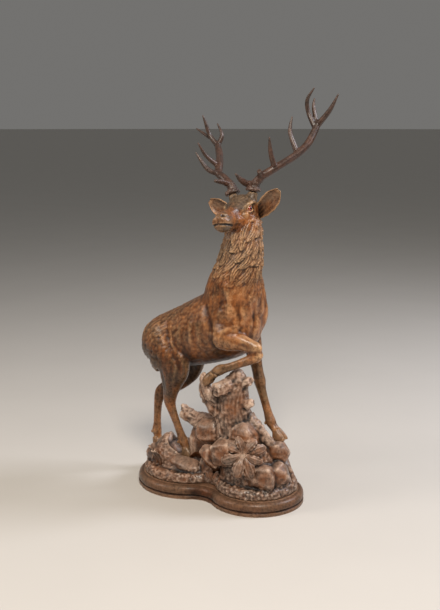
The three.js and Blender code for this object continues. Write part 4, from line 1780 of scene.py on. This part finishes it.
@dataclass(frozen=True)
class LobedOutline:
    """A two-lobed outline: round ends and a hollow waist on both sides.

    Attributes:
        rear: Radius of the rear lobe.
        front: Radius of the front lobe.
        waist: Radius of the hollows between them.
        spacing: Distance of each lobe's centre from the middle.
    """

    rear: float
    front: float
    waist: float
    spacing: float = 115.0

    def ring(self, inset: float, z: float, count: int) -> Array:
        """The outline drawn in and set at a level.

        Args:
            inset: How far it is drawn in.
            z: Its level.
            count: Points on half a lobe.

        Returns:
            Points round the outline.
        """
        r1, r2 = self.rear + self.waist, self.front + self.waist
        wx = (r1 * r1 - r2 * r2) / (4 * self.spacing)
        wy = math.sqrt(r1 * r1 - (wx + self.spacing) ** 2)
        to_rear, to_front = math.atan2(-wy, -self.spacing - wx), math.atan2(-wy, self.spacing - wx)
        rear_a, front_a = math.atan2(wy, wx + self.spacing), math.atan2(wy, wx - self.spacing)
        arcs = (
            (self.spacing, 0.0, self.front - inset, -front_a, front_a, count * 2),
            (wx, wy, self.waist + inset, to_front, to_rear, count // 2),
            (-self.spacing, 0.0, self.rear - inset, rear_a, 2 * math.pi - rear_a, count * 2),
            (wx, -wy, self.waist + inset, -to_rear, -to_front, count // 2),
        )
        points = []
        for cx, cy, r, start, end, n in arcs:
            a = start + (end - start) * np.arange(n) / n
            points.append(np.stack([cx + r * np.cos(a), cy + r * np.sin(a), np.full(n, z)], axis=1))
        return np.vstack(points)

    def board(self, profile: Stations, count: int, fine: int) -> Shell:
        """A board with a moulded edge.

        Args:
            profile: Rows of inset and level.
            count: Points on half a lobe.
            fine: Rings between the profile's rows.

        Returns:
            The closed shape.
        """
        rows = np.array(profile, float)
        u = np.linspace(0, len(rows) - 1, (len(rows) - 1) * fine + 1)
        soft = np.stack([np.interp(u, np.arange(len(rows)), rows[:, k]) for k in (0, 1)], axis=1)
        return skinned(np.stack([self.ring(inset, z, count) for inset, z in soft]))

    def inset(self, points: Array) -> Array:
        """Roughly how far points lie inside the outline.

        Args:
            points: Positions.

        Returns:
            Millimetres.
        """
        front = self.front - np.hypot(points[:, 0] - self.spacing, points[:, 1])
        rear = self.rear - np.hypot(points[:, 0] + self.spacing, points[:, 1])
        return np.maximum(front, rear)


@dataclass
class Plinth:
    """The moulded two-lobed board under the rockwork.

    Attributes:
        outline: Its outline.
        profile: Rows of inset and level from the underside up.
    """

    outline: LobedOutline = LobedOutline(150.0, 129.0, 65.0)
    profile: Stations = (
        (1, 0),
        (0.2, 1.2),
        (0, 3),
        (0, 8),
        (0.8, 9.2),
        (3.6, 10),
        (3.9, 11.5),
        (3.6, 13),
        (1.2, 14.2),
        (0.2, 16.4),
        (0, 19),
        (0.3, 23),
        (1.2, 27),
        (3.2, 30.6),
        (6.2, 33.6),
        (10, 35.6),
        (12.4, 36.1),
        (13.2, 35.5),
        (14.0, 36.2),
        (17, 36.8),
        (20, 37),
    )

    def build(self, dresser: Dresser) -> bpy.types.Object:
        """Makes and dresses the board.

        Args:
            dresser: Holds the finishes.

        Returns:
            The piece.
        """
        skin = Skin(self.outline.board(self.profile, 48, 2))
        p = skin.points
        hand = 0.5 * noise(p / np.array([40.0, 40.0, 200.0]), 121, 2) + 0.16 * noise(p / 7.0, 123, 2)
        edge = (p[:, 2] > 2) & (self.outline.inset(p) < 30)
        skin.push(np.where(edge, hand, 0.0))
        hollow, worn = dirt_wear_and_painted_light(skin, 0.9, 5.0)
        # Rubbed edges, with a painted highlight along the upward faces of the top roll
        rim = np.clip(worn + 0.1 * ease(24, 33, p[:, 2]) * ease(0.1, 0.8, skin.normals()[:, 2]), 0, 1)
        shade = ease(24, 40, self.outline.inset(p))
        marks = {
            Mark.HOLLOW: np.clip(hollow * 1.2, 0, 0.85),
            Mark.WORN: 0.7 * rim,
            Mark.TONE: 0.3 * noise(p / 60.0, 127, 2) - 0.3 * shade,
            Mark.DUST: 0.15 * ease(0.2, 0.95, skin.normals()[:, 2]),
        }
        return dresser.dress(skin, "plinth", Finish.PLINTH, marks)


@dataclass(frozen=True)
class Ground:
    """How much each point of the rockwork is of each kind, in 0..1.

    Attributes:
        bark: Bark of the stump and roots.
        bare: Bare wood of the stump.
        gravel: Gravel of the rim.
        stone: Sides of the boulders.
    """

    bark: Array
    bare: Array
    gravel: Array
    stone: Array

    def padded(self, count: int) -> Ground:
        """The same for a longer list of points, whose last ones are of no kind."""
        kinds = (self.bark, self.bare, self.gravel, self.stone)
        return Ground(*(np.pad(kind, (0, count - len(kind))) for kind in kinds))


@dataclass
class Rockwork:
    """Rocks, broken stump, leaves and a gravel rim, carved as one piece.

    Attributes:
        outline: Outline of the gravel rim.
        floor: Level of its underside.
        voxel: Size of its faces.
        facing: Side that faces the viewer, so that bark patterns close on the far side.
        soles: Where the standing hooves rest.
        seat: Half length and half width of the level place under a hoof.
        rim: Rows of inset and height of the gravel rim.
        mounds: Stations of the ground under each lobe.
        boulders: Centre, half sizes, seed, level of the top and number of corners of each.
        worn_round: Which boulders have their edges rounded off.
        rosette_at: Middle of the rosette.
        rosette_out: Direction it faces.
        rosette: Rows of direction in degrees, length, half width and slope at the base and tip of each leaf.
        bare_at: Middle of the stump's bare patch.
        bare_r: Its radius.
        stump: Stations of the stump, its branches and its roots.
    """

    outline: LobedOutline = LobedOutline(131.0, 111.0, 35.0)
    floor: float = 37.3
    voxel: float = 2.85
    facing: Triple = (0.62, -0.79, 0.1)
    soles: tuple[Triple, ...] = Stag.soles
    seat: tuple[float, float] = (31.0, 23.0)
    rim: Stations = ((3, 0), (0, 5), (0.5, 14), (4, 21), (10, 25), (20, 26))
    mounds: tuple[Stations, ...] = (
        (
            (104, 2, 44, 92, 96),
            (100, -2, 90, 84, 88),
            (92, -6, 135, 72, 78),
            (82, -10, 178, 58, 62),
            (74, -14, 212, 42, 44),
        ),
        ((-135, 0, 44, 116, 116), (-140, 0, 62, 104, 108), (-142, 0, 76, 84, 92), (-140, 2, 80, 40, 50)),
    )
    boulders: tuple[tuple[tuple[float, ...], tuple[float, ...], int, float, int], ...] = (
        ((158, 24, 138), (56, 46, 42), 3, 172, 14),
        ((-10, -50, 182), (50, 40, 42), 11, 222, 16),
        ((111, -50, 197), (54, 38, 38), 23, 234, 16),
        ((168, -46, 86), (50, 42, 46), 37, 134, 16),
        ((194, -10, 90), (32, 38, 44), 41, 128, 12),
        ((20, -78, 124), (36, 28, 40), 53, 170, 12),
        ((66, -86, 146), (40, 28, 42), 61, 190, 14),
        ((-2, -50, 84), (44, 22, 44), 67, 130, 10),
        ((-78, -64, 70), (66, 38, 28), 71, 95, 16),
        ((-238, 16, 54), (38, 42, 24), 83, 72, 10),
        ((-194, -50, 66), (44, 40, 40), 97, 104, 12),
        ((-58, -14, 132), (58, 42, 64), 131, 194, 10),
        ((-150, 62, 70), (70, 44, 34), 101, 94, 10),
        ((30, 62, 108), (70, 42, 66), 109, 168, 10),
        ((140, 80, 76), (56, 28, 40), 113, 112, 10),
    )
    worn_round: tuple[int, ...] = (1, 2, 8)
    rosette_at: Triple = (136.0, -86.0, 156.0)
    rosette_out: Triple = (0.52, -0.74, 0.42)
    rosette: tuple[tuple[float, ...], ...] = (
        (146, 56, 17.0, 0.45, -1.0),
        (112, 48, 15.0, 0.90, -0.6),
        (80, 52, 16.0, 0.55, -0.8),
        (48, 50, 15.0, 0.95, -0.7),
        (16, 60, 16.0, 0.50, -1.0),
        (-26, 58, 13.0, 0.80, -1.2),
        (-70, 70, 18.0, 0.35, -1.0),
        (-110, 72, 17.0, 0.75, -1.3),
        (-154, 66, 19.0, 0.40, -1.3),
    )
    bare_at: Triple = (82.0, -66.0, 268.0)
    bare_r: float = 34.0
    stump: tuple[Stations, ...] = (
        (
            (62, -22, 120, 54, 48),
            (60, -26, 180, 52, 46),
            (58, -31, 230, 52, 42),
            (60, -36, 270, 48, 38),
            (70, -38, 310, 38, 32),
            (77, -38, 335, 30, 26),
            (80, -38, 354, 20, 16),
            (82, -38, 364, 8, 7),
        ),
        ((78, -34, 330, 20, 20), (66, -62, 324, 20, 20), (56, -86, 319, 19, 19), (50, -99, 317, 17.5, 17.5)),
        ((84, -34, 322, 17, 17), (102, -38, 334, 14, 14), (118, -41, 341, 13, 13), (126, -42, 343, 11.5, 11.5)),
        ((78, -30, 268, 20, 20), (104, -36, 276, 15, 15), (122, -40, 283, 10, 11), (132, -42, 286, 8.5, 9)),
        (
            (44, -36, 232, 26, 26),
            (16, -54, 258, 22, 22),
            (-4, -62, 284, 17, 17),
            (-13, -66, 306, 14, 14),
            (-18, -68, 321, 8, 8),
        ),
        (
            (32, -52, 262, 18, 18),
            (16, -72, 290, 15, 14),
            (6, -80, 310, 13, 12),
            (-2, -80, 338, 10, 10),
            (-6, -80, 350, 6, 6),
        ),
        (
            (40, -20, 178, 34, 34),
            (-10, -20, 188, 29, 31),
            (-56, -22, 193, 22, 24),
            (-92, -25, 200, 18, 20),
            (-118, -29, 208, 15, 19),
        ),
        ((-90, -26, 206, 15, 15), (-110, -29, 219, 11, 11), (-120, -31, 230, 5, 5)),
        ((84, -20, 232, 26, 26), (120, -16, 210, 21, 20), (146, -8, 186, 17, 16), (166, 0, 164, 11, 11)),
    )

    def facets(self, at: Point, half: Point, seed: int, top: float, corners: int) -> Array:
        """The flat sides of a boulder: the wrapping of scattered corners on a boxy ball, its top cut level.

        Args:
            at: Its centre.
            half: Half sizes.
            seed: Picks its corners.
            top: Level of its top.
            corners: Number of corners.

        Returns:
            One row per side: its outward direction over its distance from the centre.
        """
        points = []
        for k in range(corners):
            z = 1 - (2 * (k + 0.5)) / corners
            a = k * 2.4 + scatter(seed + k) * 0.9
            r = math.sqrt(1 - z * z)
            p = np.array((r * math.cos(a), r * math.sin(a), z))
            p *= (0.88 + 0.26 * scatter(seed * 3 + k)) * (0.62 + 0.38 / np.abs(p).max()) * 0.92
            p = np.array(at) + p * np.array(half)
            p[2] = max(min(p[2], top), self.floor + 2)
            points.append(p)
        rock = hull(np.array(points) - np.array(at))
        tri = rock.points[np.array([f[:3] for f in rock.faces])]
        out = unit(np.cross(tri[:, 1] - tri[:, 0], tri[:, 2] - tri[:, 0]))
        reach = (out * tri[:, 0]).sum(axis=1)
        out, reach = np.where(reach[:, None] < 0, -out, out), np.abs(reach)
        return out / np.maximum(reach, 4.0)[:, None]

    def depth(self, points: Array, at: Point, sides: Array, round_off: float) -> Array:
        """How far points are out from a boulder's centre, 1 on its softened surface.

        Args:
            points: Positions.
            at: The boulder's centre.
            sides: Its flat sides.
            round_off: Sharpness of its edges.

        Returns:
            Values from 0 at the centre.
        """
        share = np.maximum((points - np.array(at)) @ sides.T, 0.0)
        most = np.maximum(share.max(axis=1), 1e-6)
        return most * ((share / most[:, None]) ** round_off).sum(axis=1) ** (1 / round_off) / 1.04

    def edge(self, k: int) -> float:
        """How sharp a boulder's edges are."""
        return 9.0 if k in self.worn_round else 40.0

    def boulder(self, at: Point, sides: Array, round_off: float) -> Shell:
        """A boulder with softened edges.

        Args:
            at: Its centre.
            sides: Its flat sides.
            round_off: Sharpness of its edges.

        Returns:
            The closed shape.
        """
        ball = swell((0, 0, 0), (1, 1, 1), detail=40)
        ways = unit(ball.points)
        return Shell(ways / self.depth(ways, (0, 0, 0), sides, round_off)[:, None] + np.array(at), ball.faces)

    def leaf(self, base: Point, heading: Point, normal: Point, sizes: tuple[float, ...]) -> Shell:
        """A thick ribbed leaf whose tip curls over.

        Args:
            base: Where it grows from.
            heading: Direction it grows.
            normal: Direction its face looks.
            sizes: Length, half width, half thickness, and its slope out at the base and at the tip in radians.

        Returns:
            The closed shape.
        """
        length, width, thick, start, end = sizes
        go = unit(np.array(heading, float))
        up = unit(np.array(normal, float) - np.dot(normal, go) * go)
        side = np.cross(up, go)
        t = np.linspace(0.0, 1.0, 22)[:, None]
        slope = start + (end - start) * t
        step = length / (len(t) - 1) * (go * np.cos(slope) + up * np.sin(slope))
        centre = np.array(base, float) + np.cumsum(step, axis=0) - step[0]
        lift = up * np.cos(slope) - go * np.sin(slope)
        s = np.linspace(-1, 1, 25)[None, :]
        w = width * (0.42 + 0.58 * ease(0.0, 0.55, t)) * np.sqrt(np.maximum(1 - t**4, 0.03))
        lobes = 1 + 0.09 * np.sin(26 * t - 2.0 * np.abs(s)) * ease(0.5, 1.0, np.abs(s))
        full = np.sin(np.pi * np.clip(0.06 + t, 0, 1)) ** 0.6
        ribs = (0.65 * np.cos(2 * np.pi * 2.0 * s) - 1.5 * np.exp(-((s / 0.12) ** 2))) * (1 - s**4) * full
        fade = 1 - 0.5 * t**3
        cup = -0.22 * width * (np.abs(s) ** 1.5) * full
        top = thick * fade * (1 - np.abs(s) ** 2.2) + ribs + cup
        flat = centre[:, None] + (w * s * lobes)[..., None] * side + cup[..., None] * lift[:, None]
        upper = flat + (top - cup - 0.4)[..., None] * lift[:, None]
        lower = flat - (thick * fade * (1 - s * s) * 0.8 + 0.8)[..., None] * lift[:, None]
        return skinned(np.concatenate([upper, lower[:, ::-1]], axis=1))

    def leaves(self) -> list[Shell]:
        """The rosette on the front rocks, the cluster at the rear right and a grass tuft.

        Returns:
            Closed shapes.
        """
        made = []
        out = unit(np.array(self.rosette_out))
        level = unit(np.array((-out[1], out[0], 0.0)))
        rise = np.cross(out, level)
        for k, (turn, long, wide, start, end) in enumerate(self.rosette):
            a = math.radians(turn)
            go = level * math.cos(a) + rise * math.sin(a)
            base = np.array(self.rosette_at) + go * (9 - 3 * (k % 2)) - (3 - 4 * (k % 2)) * out
            tilt = (scatter(k + 51) - 0.5) * np.cross(out, go)
            made.append(self.leaf(base, go, out + tilt, (long, wide, 3.2, start, end)))
        # A knob closes its middle
        made.append(swell((134, -84, 153), (11, 11, 8)))
        for k, turn in enumerate((219, 230, 241, 252)):
            out = np.array((math.cos(math.radians(turn)), math.sin(math.radians(turn)), 0.3))
            base = (104 * out[0] - self.outline.spacing, 104 * out[1], 54)
            go = (-0.2 * out[0], -0.2 * out[1], 0.95)
            made.append(self.leaf(base, go, out, (54 + 8 * (k % 2), 13, 4.6, 0.0, 1.0)))
        for k, lean in enumerate((-0.5, -0.1, 0.4)):
            made.append(self.leaf((8 + k * 5, -66, 46), (lean, -0.25, 0.9), (0, -1, 0.2), (36, 8, 3.6, 0.1, -0.7)))
        return made

    def rough(self) -> list[Shell]:
        """The masses before they are melted together.

        Returns:
            Closed shapes.
        """
        rim = [(inset, z + self.floor) for inset, z in self.rim]
        shells = [self.outline.board(rim, 40, 3)]
        shells += [limb(m, sides=48, fine=5) for m in self.mounds]
        shells += [self.boulder(b[0], self.facets(*b), self.edge(k)) for k, b in enumerate(self.boulders)]
        return shells + [limb(s, (1, 0, 0), 28, 6) for s in self.stump]

    def carve(self, skin: Skin) -> Ground:
        """Carves bark, gravel, stone and earth, and levels a seat under each hoof.

        Args:
            skin: The melted masses.

        Returns:
            Which points are of which kind.
        """
        p = skin.points
        bark = np.zeros(len(p))
        height = np.zeros(len(p))
        for k, stations in enumerate(self.stump):
            near, along, angle, radius = Axis(stations, (1, 0, 0)).locate(p, self.facing)
            part = ease(1.3, 1.12, near)
            plates = np.stack([along / 30, angle * radius / 7.5], axis=1)
            ridges = 1 - 2 * np.abs(noise(plates, 130 + k, 2))
            knots = noise(p / 6.0, 150 + k, 2)
            burls = noise(p / 15.0, 140 + k, 2)
            height = np.where(part > bark, part * (2.2 * ridges + 1.7 * knots + (3.2 + 2.0 * (k > 0)) * burls), height)
            bark = np.maximum(bark, part)
        bare = np.exp(-((np.linalg.norm(p - np.array(self.bare_at), axis=1) / self.bare_r) ** 2))
        height *= 1 - 0.75 * bare
        inset = self.outline.inset(p)
        gravel = ease(30, 16, inset) * ease(76, 64, p[:, 2]) * (1 - bark)
        first, who = cells(p / 7.0, 161)
        pebbles = np.clip(1 - (first / 0.62) ** 2, 0, 1) * (0.4 + 0.9 * who)
        clumps = noise(p / 17.0, 164, 2)
        height += gravel * (3.2 * pebbles - 1.0 + 1.4 * noise(p / 4.0, 163, 2) + 3.0 * clumps)
        out = np.full(len(p), 9.0)
        for k, rock in enumerate(self.boulders):
            out = np.minimum(out, self.depth(p, rock[0], self.facets(*rock), self.edge(k)))
        stone = ease(1.14, 1.04, out) * (1 - gravel) * (1 - bark)
        earth = (1 - stone) * (1 - gravel) * (1 - bark)
        layers = noise(p / np.array([60.0, 60.0, 8.0]) + 0.4 * noise(p / 30.0, 166)[:, None], 168, 2)
        height += stone * (0.9 * noise(p / 30.0, 165, 2) + 0.9 * layers + 0.2 * noise(p / 6.0, 167, 2))
        height += earth * (2.4 * pebbles - 1.0 + 1.2 * noise(p / 9.0, 169, 2))
        height = np.where(p[:, 2] < self.floor + 1.5, 0.0, height)
        skin.push(height)
        skin.points[:, 2] = np.maximum(skin.points[:, 2], self.floor)
        for at in self.soles:
            long, wide = self.seat
            reach = np.hypot((skin.points[:, 0] - at[0] + 1) / long, (skin.points[:, 1] - at[1]) / wide)
            limit = at[2] - GAP + np.maximum(reach - 1, 0) * 30
            lower = (reach < 2.0) & (skin.points[:, 2] < at[2] + 60)
            skin.points[:, 2] = np.where(lower, np.minimum(skin.points[:, 2], limit), skin.points[:, 2])
        return Ground(bark * (1 - bare), bare, gravel, stone)

    def marks(self, skin: Skin, ground: Ground) -> dict[Mark, Array]:
        """Works out stain, wear, dust, painted shade and painted highlights for the finish.

        Args:
            skin: The carved rocks with their leaves.
            ground: Which points are of which kind.

        Returns:
            The marks.
        """
        p = skin.points
        hollow, worn = dirt_wear_and_painted_light(skin, 1.0, 8.0)
        up = skin.normals()[:, 2]
        patches = noise(p / 40.0, 171, 3)
        # Stone faces turned sideways and downward get a warmer, darker tone and less dust: painted shade under the
        # pale tops
        painted_side_shade = ground.stone * ease(0.45, 0.0, up + 0.4 * patches)
        # Pale specks on the bark, denser on upward faces: partly the bark's own speckle, partly painted highlight
        bark_specks_and_glints = ground.bark * ease(-0.05, 0.45, noise(p / 9.0, 173, 3) + 0.35 * up)
        dust = 0.6 * ease(0.15, 0.95, up) * (1 - ground.gravel) + 0.1 * ground.bark - 0.5 * painted_side_shade
        return {
            Mark.HOLLOW: hollow,
            Mark.WORN: np.maximum(worn * (1 - 0.2 * ground.gravel), 0.5 * bark_specks_and_glints * (1 - hollow)),
            Mark.TONE: 0.5 * patches + 0.35 * ground.bare + 0.3 * painted_side_shade,
            Mark.DUST: np.clip(dust, 0, 0.85),
        }

    def build(self, dresser: Dresser) -> bpy.types.Object:
        """Carves and dresses the rockwork.

        Args:
            dresser: Holds the finishes.

        Returns:
            The piece.
        """
        skin = Skin.remeshed(self.rough(), self.voxel)
        skin.smooth(4)
        ground = self.carve(skin)
        skin.add(self.leaves())
        marks = self.marks(skin, ground.padded(len(skin.points)))
        return dresser.dress(skin, "rockwork", Finish.ROCK, marks)


# Floor, light and camera


@dataclass(frozen=True)
class Studio:
    """A plain pale floor, soft studio light and a camera at the photograph's angle.

    Attributes:
        eye: Camera place in metres.
        target: Point it looks at.
        lens: Focal length in millimetres.
        floor: Floor colour.
        mottle: The floor's second, nearly equal colour.
        spread: Radius of the floor in metres.
        surround: Colour of the light from all round.
        surround_power: Its strength.
        middle: Point the lights are aimed at.
        lamps: Name, place in metres, width in metres, power in watts and colour of each light.
    """

    eye: Triple = (1.5329, -1.9750, 1.0200)
    target: Triple = (-0.0063, -0.0049, 0.5250)
    lens: float = 55.7
    floor: str = "#c8c5c0"
    mottle: str = "#c3c0bb"
    spread: float = 90.0
    surround: str = "#e4e2de"
    surround_power: float = 0.22
    middle: Triple = (0.0, 0.0, 0.55)
    lamps: tuple[tuple[str, Point, float, float, str], ...] = (
        ("key_softbox", (1.5, -1.7, 2.7), 0.9, 105.0, "#fff3e4"),
        ("rim_softbox", (1.9, 1.9, 2.5), 1.2, 80.0, "#f4f5ff"),
        ("side_softbox", (-1.6, -1.9, 1.8), 1.0, 27.0, "#fff6ec"),
    )

    def light(self, name: str, at: Point, size: float, power: float, tint: str) -> None:
        """Adds a soft light aimed at the middle of the object.

        Args:
            name: Its name.
            at: Its place in metres.
            size: Its width in metres.
            power: Its power in watts.
            tint: Its colour.
        """
        lamp = bpy.data.lights.new(name, "AREA")
        lamp.shape = "SQUARE"
        lamp.size = size
        lamp.energy = power
        lamp.color = to_linear(tint)[:3]
        obj = bpy.data.objects.new(name, lamp)
        obj.location = at
        aim = Vector(self.middle) - Vector(at)
        obj.rotation_euler = aim.to_track_quat("-Z", "Y").to_euler()
        bpy.context.scene.collection.objects.link(obj)

    def build(self) -> None:
        """Sets up floor, light and camera."""
        mesh = bpy.data.meshes.new("studio_floor")
        sides = 64
        turn = 2.0 * np.pi * np.arange(sides) / sides
        disc = self.spread * np.stack([np.cos(turn), np.sin(turn), 0.0 * turn], axis=1)
        mesh.from_pydata(disc.tolist(), [], [list(range(sides))])
        # Matt paper: an even, pale ground with the faintest mottle
        paper = bpy.data.materials.new("pale_floor_paper")
        paper.use_nodes = True
        tree = paper.node_tree
        tree.nodes.clear()
        place = node(tree, "ShaderNodeTexCoord").outputs["Object"]
        mottle = node(tree, "ShaderNodeTexNoise", {"Vector": place, "Scale": 3.0, "Detail": 3.0}).outputs[0]
        tint = node(
            tree, "ShaderNodeMix", {0: mottle, 6: to_linear(self.floor), 7: to_linear(self.mottle)}, data_type="RGBA"
        ).outputs[2]
        shader = node(tree, "ShaderNodeBsdfPrincipled", {"Base Color": tint, "Roughness": 0.75})
        node(tree, "ShaderNodeOutputMaterial", {"Surface": shader.outputs[0]})
        mesh.materials.append(paper)
        floor = bpy.data.objects.new("studio_floor", mesh)
        bpy.context.scene.collection.objects.link(floor)
        world = bpy.data.worlds.new("studio")
        world.use_nodes = True
        back = next(n for n in world.node_tree.nodes if n.type == "BACKGROUND")
        back.inputs[0].default_value = to_linear(self.surround)
        back.inputs[1].default_value = self.surround_power
        bpy.context.scene.world = world
        # Colours come out as they are measured, with deep shadows kept
        bpy.context.scene.view_settings.view_transform = "Standard"
        for lamp in self.lamps:
            self.light(*lamp)
        cam = bpy.data.cameras.new("photo_camera")
        cam.lens = self.lens
        obj = bpy.data.objects.new("photo_camera", cam)
        obj.location = self.eye
        aim = Vector(self.target) - Vector(self.eye)
        obj.rotation_euler = aim.to_track_quat("-Z", "Y").to_euler()
        bpy.context.scene.collection.objects.link(obj)
        bpy.context.scene.camera = obj


def main() -> None:
    """Builds the object round its frame, then the studio."""
    logging.basicConfig(level=logging.INFO, format="%(name)s: %(message)s")
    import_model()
    dresser = Dresser()
    Plinth().build(dresser)
    Rockwork().build(dresser)
    Stag().build(dresser)
    LEFT_ANTLER.build(dresser, "antler_left")
    RIGHT_ANTLER.build(dresser, "antler_right")
    Eye().build(dresser, 1, "eye_left")
    Eye().build(dresser, -1, "eye_right")
    Studio().build()


if __name__ == "__main__":
    main()
